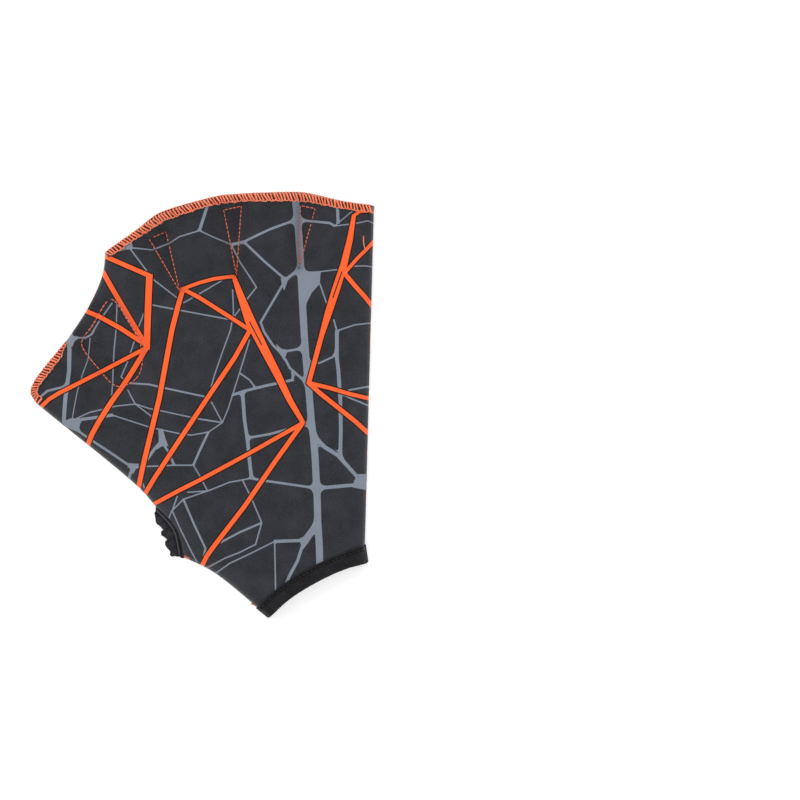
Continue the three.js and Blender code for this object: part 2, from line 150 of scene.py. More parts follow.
# The binding is a knit tape folded over the wrist edge. Its rows: the depth from the edge, the side
# of the cloth (1 outside, 0 the fold, -1 inside) and how far off the cloth. Then its stretches between
# rows that are painted dark as shade in its groove, its wall, the depth of its stitches, its steps
# along the edge and round each end, how far it bulges there, and over what share of the edge it turns
# to the seams and flares.
BINDING_PROFILE = (
    (8.2, 1, 0.5), (8.0, 1, 0.9), (7.6, 1, 1.05), (7.2, 1, 0.95), (6.9, 1, 0.5), (6.5, 1, 0.25),
    (6.1, 1, 0.5), (5.8, 1, 0.95), (5.2, 1, 1.1), (4.2, 1, 1.05), (3.0, 1, 1.05), (1.8, 1, 1.02),
    (0.9, 1, 0.85), (0.35, 1, 0.5), (0, 0, 0), (0.35, -1, 0.4), (1.2, -1, 0.8), (3.0, -1, 0.9),
    (5.5, -1, 0.9), (8.2, -1, 0.8),
)
# the binding's stretches in its groove, which are painted dark as shade
BINDING_SHADED_GROOVE = (3, 4, 5, 6)
BINDING_WALL = 0.7
BINDING_SEAM = 6.5
BINDING_STEPS = 72
BINDING_TURNS = 6
BINDING_BULGE = 0.45
BINDING_BLEND = 0.14
# Over how many points a seam's direction is taken at the binding's ends
WAY_POINTS = 3
# A band's corners that are closer than this are made one
BAND_MERGE = 0.001
# How far off the hollow's middle a band's inner side stays, and what is added at its fold
INNER_CLEAR = 0.05
FOLD_CLEAR = 0.1
# The binding's flared end on the little finger's side, in pixels: at its edge and at its depth
BINDING_FLARE = ((367.2, 563.2), (364.4, 544.5))
# The overlock's bed under its loops, in the same way
THREAD_PROFILE = (
    (3.25, 1, 0.4), (3.0, 1, 0.5), (2.0, 1, 0.52), (0.9, 1, 0.5), (0.3, 1, 0.3), (0, 0, 0),
    (0.3, -1, 0.3), (0.9, -1, 0.42), (2.2, -1, 0.42),
)
THREAD_WALL = 0.35
BED_SPACING = 1.2
# Ends of thread that stand out at the seams' ends, in pixels
THREAD_ENDS = (
    ((184.5, 556), (187, 557), (190, 558.6)),
    ((186, 557.4), (188, 558.2), (189.5, 559.6)),
    ((251, 603.6), (253.5, 604.6), (256, 605.8)),
    ((363.5, 236), (363.6, 243), (365, 250)),
)
THREAD_END_RADIUS = 0.32
THREAD_END_SPACING = 0.6
THREAD_END_HEIGHT = 2.0

# The print. Each line is its width in pixels, one or one for each point, and its points.
PALM_ORANGE = (
    (4.5, (104, 256), (150, 276)),
    (6.5, (150, 276), (147, 348)),
    (5, (103, 272), (119, 300), (147, 347)),
    (4.5, (86, 311), (100, 317), (120, 328), (146, 345)),
    (4, (146, 348), (110, 367), (80, 383), (60, 393), (50, 399), (40, 408)),
    (5, (146, 349), (130, 375), (110, 405), (100, 421), (92, 435), (87, 447)),
    (5, (183, 289), (172.5, 330), (160, 398), (145, 460), (138, 490)),
    (3.5, (183, 289), (200, 283), (215, 279), (234, 276.5)),
    (4, (183, 289), (200, 298), (230, 317), (250, 330)),
    ((4, 10, 8.5, 7.5, 6, 4.5), (234, 277), (250, 320), (265, 350), (278, 375), (290, 400), (303, 422)),
    (4.5, (250, 331), (235, 358), (210, 395), (180, 440), (155, 478), (145, 494)),
    (4, (303, 423), (250, 453), (200, 480), (180, 490), (152, 505)),
    (4.5, (303, 423), (275, 462), (245, 506), (215, 545), (207, 556), (201, 568)),
    (3, (376, 210.5), (360, 212), (354, 216)),
    ((4, 6, 7, 8, 7, 5, 4.5), (354, 216), (350, 240), (344, 265), (336, 290), (328, 315), (322, 335),
     (309, 383)),
    (3.5, (374, 241), (366, 250), (358, 258), (345, 273)),
    (4.5, (345, 274), (355, 286), (365, 297), (373, 307)),
    (4, (309, 383), (330, 388), (350, 394), (369, 398.5)),
    (4.5, (309, 383), (320, 393), (340, 409), (355, 421), (368, 433)),
)
PALM_SLITS = (
    (1.1, (250, 322), (262, 345)),
    (1.1, (342, 272), (333, 298)),
)
PALM_GREY = (
    (7, (295.5, 198), (298.5, 230), (300.5, 260), (302, 290), (304.5, 335), (306.5, 362), (309.5, 395),
     (311.5, 420), (314, 440), (315.5, 460), (317.5, 500), (318, 520), (319.5, 545), (320, 562)),
    (2.3, (299, 219.5), (330, 223.5), (334, 225.5)),
    (3, (337.5, 203), (337, 222)),
    (1.0, (334, 227), (352, 212)),
    (1.2, (335, 226.5), (355, 224), (368, 221), (375, 224)),
    (2.3, (298, 217.5), (270, 229.8), (244, 242)),
    (3, (243, 243), (231, 244.5)),
    (1.25, (230, 245), (215, 238), (200, 231.5)),
    (2.3, (244, 244), (265, 262), (286, 280)),
    (3, (286, 280), (291, 276), (299, 268)),
    (2.3, (286, 281), (275, 298.5), (261, 322.5), (264.5, 332), (273, 345), (280, 352), (286, 360),
     (290, 368), (305, 385)),
    (2.3, (281, 352), (304, 348)),
    (2.7, (293, 372), (293, 380), (265, 386), (245, 391), (233, 395)),
    (1.6, (256, 387), (250, 380), (240, 373)),
    (1.25, (250, 340), (240, 373), (233, 395), (229, 408), (223, 422)),
    (1.25, (236, 313), (231, 330), (223, 352), (215, 375), (210, 393)),
    (3.5, (243, 392), (245, 420), (248, 440), (250, 460), (252, 478)),
    (2.3, (247, 438), (270, 434), (285, 430), (312, 423)),
    (1.25, (212, 402), (223, 422)),
    (1.6, (200, 419), (223, 422.5)),
    (1.25, (223, 423), (209, 432), (192, 435)),
    (2.3, (209, 432), (200, 451), (194, 465)),
    (1.8, (128, 383), (150, 384.5), (165, 388), (207, 397)),
    (1.25, (128, 390), (136, 404)),
    (1.25, (136, 404), (150, 408.5), (165, 411.5), (198, 418)),
    (1.25, (136, 404), (153, 417)),
    (1.25, (136, 404), (117, 406), (90, 412.5), (72, 418)),
    (3, (70, 421), (100, 417), (113, 415)),
    (1.25, (113, 415), (150, 427), (180, 433.5), (192, 435)),
    (2.4, (76, 422), (80, 432), (90, 439), (110, 452), (133, 467)),
    (3.2, (138, 466), (133, 468), (128, 480)),
    (1.4, (138, 466.5), (155, 466), (174, 465), (194, 465)),
    (3, (161.5, 430), (162, 441), (155, 449), (148, 459)),
    (2.3, (162, 441), (168, 450), (175, 465)),
    (1.25, (194, 465), (200, 475), (208, 490)),
    (4, (68, 338), (70, 350), (70, 370), (68, 385), (66, 400), (64, 422)),
    (1.8, (67, 337), (85, 338), (92, 334), (95, 330)),
    (2.3, (68, 386), (60, 388), (48, 391), (42, 396), (38, 404)),
    (1.0, (90, 338), (88, 360), (82, 378), (78, 392), (71, 420)),
    (1.25, (117, 303), (116, 330), (114, 350), (113, 370), (112, 402)),
    (1.4, (112, 303), (100, 320), (91, 335)),
    (1.25, (145, 312), (139, 327), (134, 342), (127, 363), (121, 377), (126, 385)),
    (2.3, (106, 254.5), (118, 251), (130, 248)),
    (1.35, (132, 249), (152, 250), (162, 246), (170, 243), (180, 237), (200, 231)),
    (1.35, (131, 249), (148, 272)),
    (1.35, (153, 279), (180, 300)),
    (3, (200, 232), (209, 203)),
    (1.25, (184, 303), (200, 294), (222, 281)),
    (1.4, (152, 305), (183, 311), (229, 319.5)),
    (1.25, (233, 290), (234, 314)),
    (1.25, (235, 316), (244, 304.5)),
    (1.4, (231, 246), (240, 262), (252, 280), (256.7, 287.5), (247, 300)),
    (1.25, (301, 273), (320, 272), (337, 270)),
    (1.25, (353, 266.5), (365, 266), (373, 267)),
    (1.4, (320, 284), (327, 304)),
    (1.6, (334, 320), (338, 331)),
    (1.4, (338, 329), (355, 325), (371, 323)),
    (3.7, (337, 329), (337, 358), (338.5, 370), (340.5, 400), (341, 430), (341, 457)),
    (1.8, (306, 364), (320, 363), (333, 357), (337, 350)),
    ((5, 4, 4, 3.5, 3), (314, 436), (325, 447), (338, 455), (355, 474), (363, 484)),
    (1.8, (339, 393), (350, 390), (369, 386.5)),
    (1.6, (340, 395), (350, 398), (360, 402), (369, 406)),
    (2.3, (252, 479), (262, 480), (290, 484), (317, 488)),
    (3.5, (317, 488.5), (340, 486), (369, 483.5)),
    (1.4, (252, 478), (230, 482), (210, 490), (184, 499)),
    (1.4, (243, 480), (252, 498), (262, 522)),
    (2.0, (263, 522), (240, 532), (221, 542)),
    (1.4, (263, 522.5), (256, 544), (240, 552), (225, 558), (205, 569)),
    (1.4, (275, 541), (250, 553.5), (230, 563), (212, 576)),
    (3.2, (275, 540.5), (303, 540), (319, 520)),
    (3, (304, 541), (298, 560), (290, 575), (286, 584)),
    (1.4, (275, 541), (276, 592)),
    (1.4, (184, 499), (172, 511), (168, 520)),
    (1.4, (178, 496), (172, 510)),
    (1.4, (172, 511), (180, 528), (190, 548), (197, 562)),
    (2.0, (184, 499), (195, 525), (206, 548), (203, 560)),
    (1.25, (207, 489), (188, 492)),
    (1.6, (142, 481), (145, 489)),
)
PALM_GREY_PATCHES = (
    ((304, 273), (321, 271.5), (320, 284), (312, 293), (307, 303), (305, 316)),
    ((62, 422), (72, 418), (84, 418.5), (80.5, 424), (79.5, 430), (85, 435), (66, 427)),
    ((124.5, 249), (130, 241), (132.5, 240.5), (133.5, 249.5), (128, 250)),
    ((299, 538.5), (306, 535), (311, 529), (315, 518), (317, 533), (313, 535.5), (308, 543), (303.2, 549)),
    ((281, 278.5), (293, 275.5), (288, 281), (284.5, 291), (282, 284)),
    ((276, 344), (282, 349), (291, 350.5), (287, 353), (284.5, 361), (280, 353)),
    ((65, 342), (71, 331.5), (74, 336), (81, 337), (75, 341), (72.5, 347), (68, 345)),
    ((159, 430), (164, 430.5), (166, 438), (169, 446), (163, 446), (156, 450), (159.5, 441)),
    ((127.5, 463), (140, 463.7), (136.5, 468.5), (133.5, 474), (131, 470.5)),
    ((357, 474), (366, 474), (366, 490), (352, 487)),
)

# The back's print, charted mirrored and a little wider than the back lies here: its little finger
# side is at pixel 398 and its thumb tip at 768, its top at 181 and its lowest point at 614
BACK_CHART = {"left": (398, 374), "right": (768, 31), "top": (181, 192), "bottom": (614, 618.5)}
BACK_ORANGE = (
    (3.5, (396, 241), (408, 248), (421, 261)),
    ((5, 6, 8, 9), (419, 260), (416, 285), (410, 310), (401, 335)),
    (4, (396, 300), (404, 322)),
    (6, (452, 284), (437, 312), (425, 340), (412, 372), (399, 404)),
    (3.5, (452, 283.5), (506, 284.5)),
    (4.5, (453, 285), (475, 305), (500, 328), (513, 346)),
    ((6, 8, 9, 9, 7, 7, 6), (505, 284), (510, 300), (514, 320), (520, 348), (537, 400), (545, 430),
     (550, 455)),
    (6, (514, 346), (480, 374), (440, 413), (396, 456)),
    (4.5, (549, 455), (500, 465), (460, 474), (440, 479), (396, 492)),
    (5, (548, 456), (520, 480), (500, 496), (460, 529), (435, 549)),
    (4, (646, 265.5), (670, 271), (690, 274), (699, 281)),
    ((5, 7, 7, 6, 5.5, 5.5), (697, 280), (704, 302), (708, 335), (719, 380), (725, 400), (728, 420)),
    (4.5, (697, 281), (680, 289), (660, 302), (640, 313), (624, 324)),
    ((6, 8, 11, 12, 11, 8, 5), (645, 266), (636, 285), (624, 312), (608, 343), (594, 370), (580, 395),
     (567, 415)),
    (5.5, (625, 325), (640, 350), (650, 371), (668, 398), (690, 431), (698, 444)),
    (4.5, (566, 414), (580, 424), (600, 436), (640, 459), (658, 472)),
    (5, (566, 416), (580, 434), (600, 462), (626, 501)),
    (6, (734, 340), (734, 374)),
    (5, (734, 373), (745, 388), (754, 404)),
)
BACK_ORANGE_PATCHES = (
    ((732, 345), (739, 358), (744, 371), (736, 377), (732, 372)),
    ((487, 184), (487, 190), (495, 196.5), (499, 194), (501, 184)),
)
BACK_SLITS = (
    (1.2, (514, 334), (525, 368)),
    (1.2, (627, 307), (605, 348)),
)
BACK_GREY = (
    ((10, 9, 8.5, 7, 8, 8, 8, 7, 6.5, 6.5, 6.5, 6, 5.5, 5), (589, 192), (585, 230), (582, 260), (580, 290),
     (577, 310), (573, 345), (570, 375), (566, 400), (563, 430), (559, 460), (556, 490), (553, 520),
     (549, 550), (541, 574)),
    (3.5, (409, 200), (408, 217), (396, 223)),
    (1.4, (408, 228), (426, 233), (445, 233.5), (479, 231)),
    (1.4, (411, 240), (421, 260)),
    (1.25, (422, 262), (444, 291)),
    (1.25, (418, 286), (440, 300), (470, 316), (492, 326)),
    (1.6, (398, 307), (411, 290)),
    (1.35, (450, 297), (470, 293), (497, 286)),
    (1.8, (504, 298), (500, 327)),
    (1.4, (500, 327), (528, 305), (507, 252)),
    (1.4, (452, 197), (470, 199)),
    (4, (473, 190), (470, 200)),
    (1.6, (468, 200), (495, 206), (527, 210), (548, 213), (583, 218)),
    (3.6, (527, 184), (526, 209)),
    (3.4, (496, 208), (488, 218), (479, 231)),
    (1.6, (479, 232), (487, 238), (507, 252)),
    (3, (507, 252), (545, 252), (583, 248)),
    (2.4, (516, 252), (530, 267), (545, 287), (559, 307)),
    (3.5, (559, 307), (578, 295)),
    (2.4, (559, 307), (537, 329), (524, 341)),
    (2.4, (524, 341), (526, 350), (533, 363), (543, 377), (553, 402), (564, 420)),
    (3, (543, 378), (571, 381)),
    (3, (484, 402), (500, 404), (532, 406), (556, 408)),
    (3, (496, 384), (510, 403)),
    (4.2, (487, 403), (491, 420), (490, 455), (489, 494)),
    (1.4, (512, 354), (496, 384), (484, 403), (468, 429)),
    (1.4, (497, 333), (480, 361), (463, 392)),
    (2.4, (461, 402), (468, 429)),
    (1.8, (404, 396), (438, 413)),
    (1.8, (445, 418), (468, 429)),
    (1.8, (396, 364), (410, 371)),
    (1.8, (414, 374), (457, 396)),
    (1.6, (468, 429), (451, 434), (432, 432)),
    (1.6, (427, 428), (398, 417)),
    (3, (451, 434), (431, 464)),
    (1.6, (431, 464), (413, 460), (398, 457)),
    (1.6, (431, 464), (438, 480)),
    (1.6, (440, 484), (443, 493)),
    (3, (489, 450), (500, 453.5), (536, 455)),
    (3, (550, 458), (560, 459)),
    (1.6, (402, 507), (410, 490)),
    (1.6, (402, 507), (416, 496), (440, 494), (480, 492)),
    (1.25, (424, 490), (442, 494)),
    (3, (479, 491), (489, 497), (500, 501), (530, 514), (553, 524)),
    (1.6, (402, 507), (410, 541)),
    (2.4, (416, 496), (429, 547)),
    (1.6, (479, 493), (484, 514)),
    (2.4, (484, 514), (491, 543)),
    (1.6, (491, 543), (475, 547), (440, 549)),
    (1.6, (491, 543), (481, 563), (466, 566)),
    (1.6, (476, 571), (500, 566)),
    (3.6, (500, 566), (530, 571), (546, 558)),
    (1.25, (500, 566), (500, 586)),
    (2.4, (530, 571), (527, 580), (515, 600)),
    (3.6, (553, 524), (575, 529), (604, 535)),
    (3, (557, 470), (570, 487), (580, 497), (597, 522)),
    (4.5, (604, 371), (602, 390), (597, 430), (590, 460), (582, 497)),
    (1.4, (596, 322), (604, 370)),
    (1.6, (604, 376), (625, 378), (648, 381)),
    (1.6, (660, 382), (668, 382), (683, 334), (650, 323)),
    (1.25, (599, 310), (620, 317)),
    (1.25, (636, 319), (652, 323)),
    (2.8, (567, 399), (590, 399), (602, 390)),
    ((3, 4, 4, 3), (597, 436), (640, 439), (660, 441), (700, 444)),
    (3.4, (655, 411), (651, 438)),
    (1.6, (655, 411), (669, 400)),
    (1.6, (671, 397), (688, 385)),
    (1.6, (688, 385), (717, 424)),
    (1.4, (656, 412), (685, 418), (717, 424)),
    (1.8, (700, 301), (686, 310), (687, 370), (688, 384)),
    (2.3, (688, 384), (705, 365)),
    (1.6, (705, 365), (704, 334)),
    (1.6, (705, 365), (734, 365)),
    (1.6, (689, 384), (725, 382), (750, 381)),
    (1.4, (621, 268), (640, 274)),
    (1.4, (645, 275.5), (702, 291)),
    (2.4, (582, 246), (605, 258), (621, 268)),
    (4, (632, 223), (630, 240), (625, 266)),
    (1.4, (612, 222), (642, 224)),
    (1.4, (624, 266), (660, 256), (692, 250)),
    (3, (680, 240), (684, 251)),
    (2.4, (596, 438), (620, 453), (648, 481)),
)
BACK_GREY_PATCHES = (
    ((587, 190), (614, 200), (611, 221), (594, 221), (587, 229), (583, 215)),
    ((575, 302), (583, 307), (600, 310), (597, 323), (590, 334), (580, 344), (572, 352)),
    ((397, 418), (403, 421), (407, 440), (413, 460), (408, 458), (403, 440), (396, 436)),
)

# How the strokes are drawn, in pixels: the dark border of orange lines, the longest side of an area
# in millimetres, the mitre at a bend, how far a stroke runs on past its ends in half widths, how
# near ends meet and how near a line passes, and the rounded webs between grey lines
BORDER = 2.3
PRINT_SIDE = 1.8
MITRE_LIMIT = 0.35
END_SHARE = 0.5
SNAP = 3.0
PASSING = 1.5
FILLET_SHARE = 2.3
FILLET_LEAST = 1.2
FILLET_MOST = 6.5
FILLET_SINE = 0.25
FILLET_RUN = 0.6
FILLET_STEPS = 4

# Overlock: the stitches' pitch and lean along the edge, and the threads' radii
STITCH_PITCH = 1.6
STITCH_LEAN = 0.55
RUNG_RADIUS = 0.43
CHAIN_RADIUS = 0.3
LOOP_DEPTH = 3.3
# A thread's knots: along in leans and in pitches, depth as a share and added, lift in tops and added
RUNG_KNOTS = (
    (1, 0, 1, 0, 0, 0.15), (0.8, 0, 0.82, 0, 1, 0), (0.3, 0, 0.5, 0, 1, 0.1), (-0.2, 0, 0.24, 0, 1, 0),
    (-0.4, 0, 0, 0.05, 0, 0.15), (-0.3, 0, 0, 0.1, 0, -1.6), (0, 0, 0, 1.2, 0, -2.3),
)
CHAIN_KNOTS = (
    (1, 0, 0.88, 0, 1, 0.2), (1, 0.35, 1, 0.25, 1, -0.2), (1, 0.8, 1, 0.05, 1, 0), (1, 1, 0.85, 0, 1, 0.2),
)
# A rung's top over the cloth: so many millimetres, and so much of its radius
RUNG_TOP = (0.5, 0.7)
# How unevenly the overlock is sewn: its place, depth, lean and thickness
PLACE_SPREAD = 0.2
DEPTH_SPREAD = 0.35
LEAN_SPREAD = 0.25
THICKNESS_SPREAD = (0.75, 1.15)
# How far from its top end the thumb's overlock comes to its full width, and its least share of it
TAPER_LENGTH = 7.0
TAPER_LEAST = 0.12
# Lockstitch of the webs, of the loop and of the binding: pitch, length and radius of a stitch
WEB_STITCH = (2.1, 1.3, 0.35)
LOOP_STITCH = (2.3, 1.55, 0.33)
BINDING_STITCH = (2.3, 1.9, 0.36)
# How high a stitch's ends and middle lie, its arch as shares of its length with which of the two,
# and how unevenly it is sewn
WEB_LIFTS = (-0.15, 0.22)
BINDING_LIFTS = (0.1, 0.42)
DASH_ARCH = ((0, 0), (0.2, 1), (0.8, 1), (1, 0))
DASH_SPACING = 0.4
DASH_SHIFT = 0.2
DASH_LENGTHS = (0.85, 1.1)

# The studio: the camera's height over the plane it is set to, in metres, that plane and the
# floor's drop in millimetres, the sensor in millimetres, the floor and the lamps in metres
CAMERA_HEIGHT = 2.5
CAMERA_FOCUS = 4.0
CAMERA_SENSOR = 36
FLOOR_SIZE = 3
FLOOR_DROP = 0.02
FLOOR_GLOW = 0.3
FLOOR_ROUGHNESS = 0.9
STUDIO_LIGHT = 0.72
LAMPS = (
    # name, place, size, power in watts
    ("key", (-0.9, 0.9, 1.4), 0.9, 13),
    ("fill", (1.0, -0.6, 1.5), 1.4, 7),
)

# The textiles' shares of fine and of broad variation, the range that is spread over both colours,
# the relief's strength, the gloss, and a wave texture's own length at a scale of one
FINE_SHARE = 0.7
BROAD_SHARE = 0.3
SHADE_RANGE = (0.33, 0.67)
RELIEF = 0.6
GLOSS = 0.15
WAVE_LENGTH = math.tau / 20
WAVE_DISTORTION = 1.5
COURSE_SHARE = 0.8

COLOURS = {
    "charcoal": "#1d1e22",
    "charcoal_light": "#3a3b41",
    "grey_print": "#757d89",
    "grey_print_light": "#868e9b",
    "orange_print": "#f65a26",
    "orange_print_light": "#fc6c38",
    "border": "#0e0b0c",
    "lining": "#26262a",
    "thread": "#fa5724",
    # the pale peach mixed into the overlock thread is partly its own tone and partly painted highlight
    "thread_painted_highlight": "#ffae8a",
    # painted shade: the dark red-brown of the overlock's bed, seen in the gaps between its loops
    "thread_bed_painted_shade": "#2c1210",
    "thread_bed_painted_shade_light": "#75301f",
    "web_thread": "#d9482a",
    "web_thread_light": "#f29478",
    "knit": "#101012",
    "knit_light": "#29292c",
    "elastic": "#17171a",
    "elastic_light": "#3c3c42",
    # the cord's greys are lighter than the elastic as painted highlight along its ridge
    "cord": "#303035",
    "cord_light": "#58585e",
    "black_thread": "#0b0b0c",
    "black_thread_light": "#2f2f33",
    "floor": "#ffffff",
}


def linear(name):
    """A named sRGB colour as linear RGBA."""
    code = COLOURS[name].lstrip("#")
    values = [int(code[at:at + 2], 16) / 255 for at in (0, 2, 4)]
    return [v / 12.92 if v <= 0.04045 else ((v + 0.055) / 1.055) ** 2.4 for v in values] + [1]


def spot(pixels):
    """Places in the photograph's pixels as millimetres in the frame."""
    return (np.array(pixels, float) - ORIGIN_PIXEL) * (PIXEL, -PIXEL)


def spot_on_back(pixels):
    """Places of the back's chart as millimetres in the frame."""
    pixels = np.array(pixels, float)
    left, right = BACK_CHART["left"], BACK_CHART["right"]
    top, bottom = BACK_CHART["top"], BACK_CHART["bottom"]
    across = np.interp(pixels[..., 0], (left[0], right[0]), (left[1], right[1]))
    past = pixels[..., 0] < left[0]
    across = np.where(past, left[1] + (left[0] - pixels[..., 0]), across)
    down = np.interp(pixels[..., 1], (top[0], bottom[0]), (top[1], bottom[1]))
    return spot(np.stack((across, down), -1))


def spline(knots, spacing, closed=False):
    """Points about a spacing apart on a centripetal Catmull-Rom curve through the knots."""
    knots = np.array(knots, float)
    if closed:
        around = np.vstack((knots[-1], knots, knots[0], knots[1]))
    else:
        around = np.vstack((2 * knots[0] - knots[1], knots, 2 * knots[-1] - knots[-2]))
    points = []
    for four in zip(around, around[1:], around[2:], around[3:]):
        gaps = [np.linalg.norm(b - a) ** 0.5 for a, b in zip(four, four[1:])]
        at = np.concatenate(((0,), np.cumsum(gaps)))
        count = max(2, math.ceil(np.linalg.norm(four[2] - four[1]) / spacing))
        for u in np.linspace(at[1], at[2], count, endpoint=False):
            level = list(four)
            for reach in (1, 2, 3):
                last = reach == 3
                spans = [(at[1], at[2])] if last else [(at[i], at[i + reach]) for i in range(4 - reach)]
                level = [
                    a + (b - a) * (u - low) / (high - low)
                    for a, b, (low, high) in zip(level, level[1:], spans)
                ]
            points.append(level[0])
    if not closed:
        points.append(knots[-1])
    return np.array(points)


def looped(line):
    """The line with its first point again at its end."""
    return np.vstack((line, line[:1]))


def lengths_along(line):
    """How far along a line each of its points is."""
    return np.concatenate(((0,), np.cumsum(np.linalg.norm(np.diff(line, axis=0), axis=1))))


def read_off(line, marks, at):
    """Places on a line whose points lie at the marks."""
    return np.stack([np.interp(at, marks, column) for column in line.T], -1)


def spaced(line, spacing, closed=False):
    """The line again, with its points evenly spaced."""
    line = looped(line) if closed else np.array(line)
    marks = lengths_along(line)
    at = np.linspace(0, marks[-1], max(1, round(marks[-1] / spacing)) + 1)
    return read_off(line, marks, at[:-1] if closed else at)


def units(vectors):
    """Each of the vectors, made one long."""
    return vectors / np.linalg.norm(vectors, axis=1)[:, None]


def inward_of(line):
    """The unit direction into the glove from a clockwise edge, at each point."""
    ways = units(np.gradient(np.array(line)[:, :2], axis=0))
    return np.stack((ways[:, 1], -ways[:, 0]), -1)


def inward_round(ring):
    """The same for a closed ring."""
    return inward_of(np.vstack((ring[-1:], ring, ring[:1])))[1:-1]


def edge_lines(panel):
    """The outline's edges in millimetres, each with its name, for the palm or the back."""
    lines = []
    for name, knots in OUTLINE:
        if name == "vent" and panel == "back":
            knots = (knots[0], BACK_VENT_BEND, knots[2])
        line = spline(spot(knots), EDGE_SPACING)
        if name == "finger" and panel == "palm":
            short = spline([(x, s) for (x, y), s in zip(knots, PALM_SHORT)], 2 * EDGE_SPACING)
            along = spot(np.stack((short[:, 0], 0 * short[:, 0]), -1))[:, 0]
            depth = np.interp(line[:, 0], along, short[:, 1])
            line = line + inward_of(line) * depth[:, None] * PIXEL
        lines.append((name, line))
    return lines


def inset(line, depth):
    """The line moved into the glove."""
    return line + inward_of(line) * depth


def distance(points, lines):
    """How far each point is from the nearest of the lines."""
    nearest = np.full(len(points), np.inf)
    for line in lines:
        for a, b in zip(line, line[1:]):
            run = b - a
            share = np.clip((points - a) @ run / (run @ run), 0, 1)
            off = points - a - share[:, None] * run
            nearest = np.minimum(nearest, np.hypot(off[:, 0], off[:, 1]))
    return nearest


def inside(points, ring):
    """Which points a closed ring holds."""
    held = np.zeros(len(points), bool)
    for a, b in zip(ring, np.roll(ring, -1, axis=0)):
        crosses = (a[1] > points[:, 1]) != (b[1] > points[:, 1])
        reach = a[0] + (points[:, 1] - a[1]) * (b[0] - a[0]) / (b[1] - a[1] or 1)
        held ^= crosses & (points[:, 0] < reach)
    return held


def distance_to_area(points, ring):
    """How far each point is from what a closed ring holds."""
    return np.where(inside(points, ring), 0, distance(points, [looped(ring)]))


EDGES = {panel: edge_lines(panel) for panel in ("palm", "back")}
SEWN = [line for name, line in EDGES["back"] if name in ("seam", "vent")]
PALM_VENT = [line for name, line in EDGES["palm"] if name == "vent"]
THREADED = [inset(line, THREAD_REACH) for name, line in EDGES["back"] if name in ("finger", "thumb")]
WRIST = [inset(line, BINDING_REACH) for name, line in EDGES["back"] if name == "wrist"]
WEB_RINGS = [spot(web) for web in WEBS]
LOOP_RING = spline(spot(THUMB_LOOP), LOOP_SPACING, closed=True)
STITCH_LINES = [spaced(ring, LINE_SPACING, closed=True) for ring in (*WEB_RINGS, LOOP_RING)]
STITCHED = [looped(line) for line in STITCH_LINES]


def rise(off, run):
    """From 0 at a seam to 1 at the end of its run, as a shallow arch."""
    return 1 - (1 - np.minimum(off / run, 1)) ** 2


def near_edge(off, depth):
    """1 within the depth of a band on an open edge, and 0 a run further in."""
    share = np.clip((off - depth - MOUTH_MARGIN) / MOUTH_RUN, 0, 1)
    return 1 - share * share * (3 - 2 * share)


def band_room(points):
    """How far the bands on the open edges hold each cloth off the hollow."""
    thread = THREAD_REACH * near_edge(distance(points, THREADED), THREAD_DEPTH)
    binding = BINDING_REACH * near_edge(distance(points, WRIST), BINDING_DEPTH)
    return np.maximum(thread, binding)


def hollow(points):
    """Height of the hollow between the panels: the least gap, and the arch over it."""
    mouth = 2 * band_room(points)
    off_crown = np.linalg.norm(points - spot(PALM_CROWN), axis=1) / PALM_SWELL_RADIUS
    full = CHANNEL_HEIGHT + PALM_SWELL * np.exp(-off_crown ** 2)
    arch = rise(distance(points, [*SEWN, *PALM_VENT]), SEAM_RUN)
    for ring in WEB_RINGS:
        arch = arch * rise(distance_to_area(points, ring), WEB_RUN)
    arch = arch * rise(distance_to_area(points, LOOP_RING), LOOP_RUN)
    return SEAM_GAP + mouth + (full - mouth) * arch


def slope_share(points):
    """How much thicker the cloth is, measured straight up, where it slopes."""
    x_slope, y_slope = (
        (hollow(points + step) - hollow(points - step)) / (2 * SLOPE_STEP)
        for step in np.eye(2) * SLOPE_STEP
    )
    return np.minimum(np.sqrt(1 + x_slope ** 2 + y_slope ** 2), STEEPEST)


def back_inner(points):
    """Height of the back's inner face."""
    return CLOTH_WALL + band_room(points)


def wall(points):
    """The cloth's thickness, less along the seams."""
    return SEAM_WALL + (CLOTH_WALL - SEAM_WALL) * np.minimum(distance(points, SEWN) / SEAM_ROUND, 1)


def rolled(points, height, seam_height, panel):
    """The height, brought down to the seam's in a round edge where the panels are sewn."""
    sewn = [line for name, line in EDGES[panel] if name in ("seam", "vent")]
    share = 1 - np.minimum(distance(points, sewn) / ROLL_RADIUS, 1)
    return seam_height + (height - seam_height) * np.sqrt(1 - share ** 2)


def groove(points):
    """How far stitches pull the cloth in."""
    return GROOVE_DEPTH * np.exp(-(distance(points, STITCHED) / GROOVE_WIDTH) ** 2)


def folds(points):
    """The soft folds' height."""
    lift = np.zeros(len(points))
    for height, width, *line in FOLDS:
        lift += height * np.exp(-(distance(points, [spline(spot(line), FOLD_SPACING)]) / width) ** 2)
    return lift


def palm_height(points):
    """Height of the palm's outer face."""
    top = back_inner(points) + hollow(points) + wall(points) * slope_share(points)
    return rolled(points, top - groove(points) + folds(points), SEAM_HEIGHT + SEAM_SLIT, "palm")


def back_height(points):
    """Height of the back's outer face, which is its underside."""
    low = np.maximum(back_inner(points) - wall(points), 0)
    return rolled(points, low + groove(points), SEAM_HEIGHT - SEAM_SLIT, "back")


FACES = {"palm": palm_height, "back": back_height}
OUTWARD = {"palm": 1, "back": -1}


def unit(vector):
    """The vector, made one long."""
    return vector / np.linalg.norm(vector)


def turned(vector):
    """The vector turned a quarter to the left."""
    return np.array((-vector[1], vector[0]))


def parts_of(stroke):
    """A stroke's points, and its half width at each."""
    widths, *points = stroke
    return np.array(points, float), np.broadcast_to(np.array(widths) / 2, len(points))


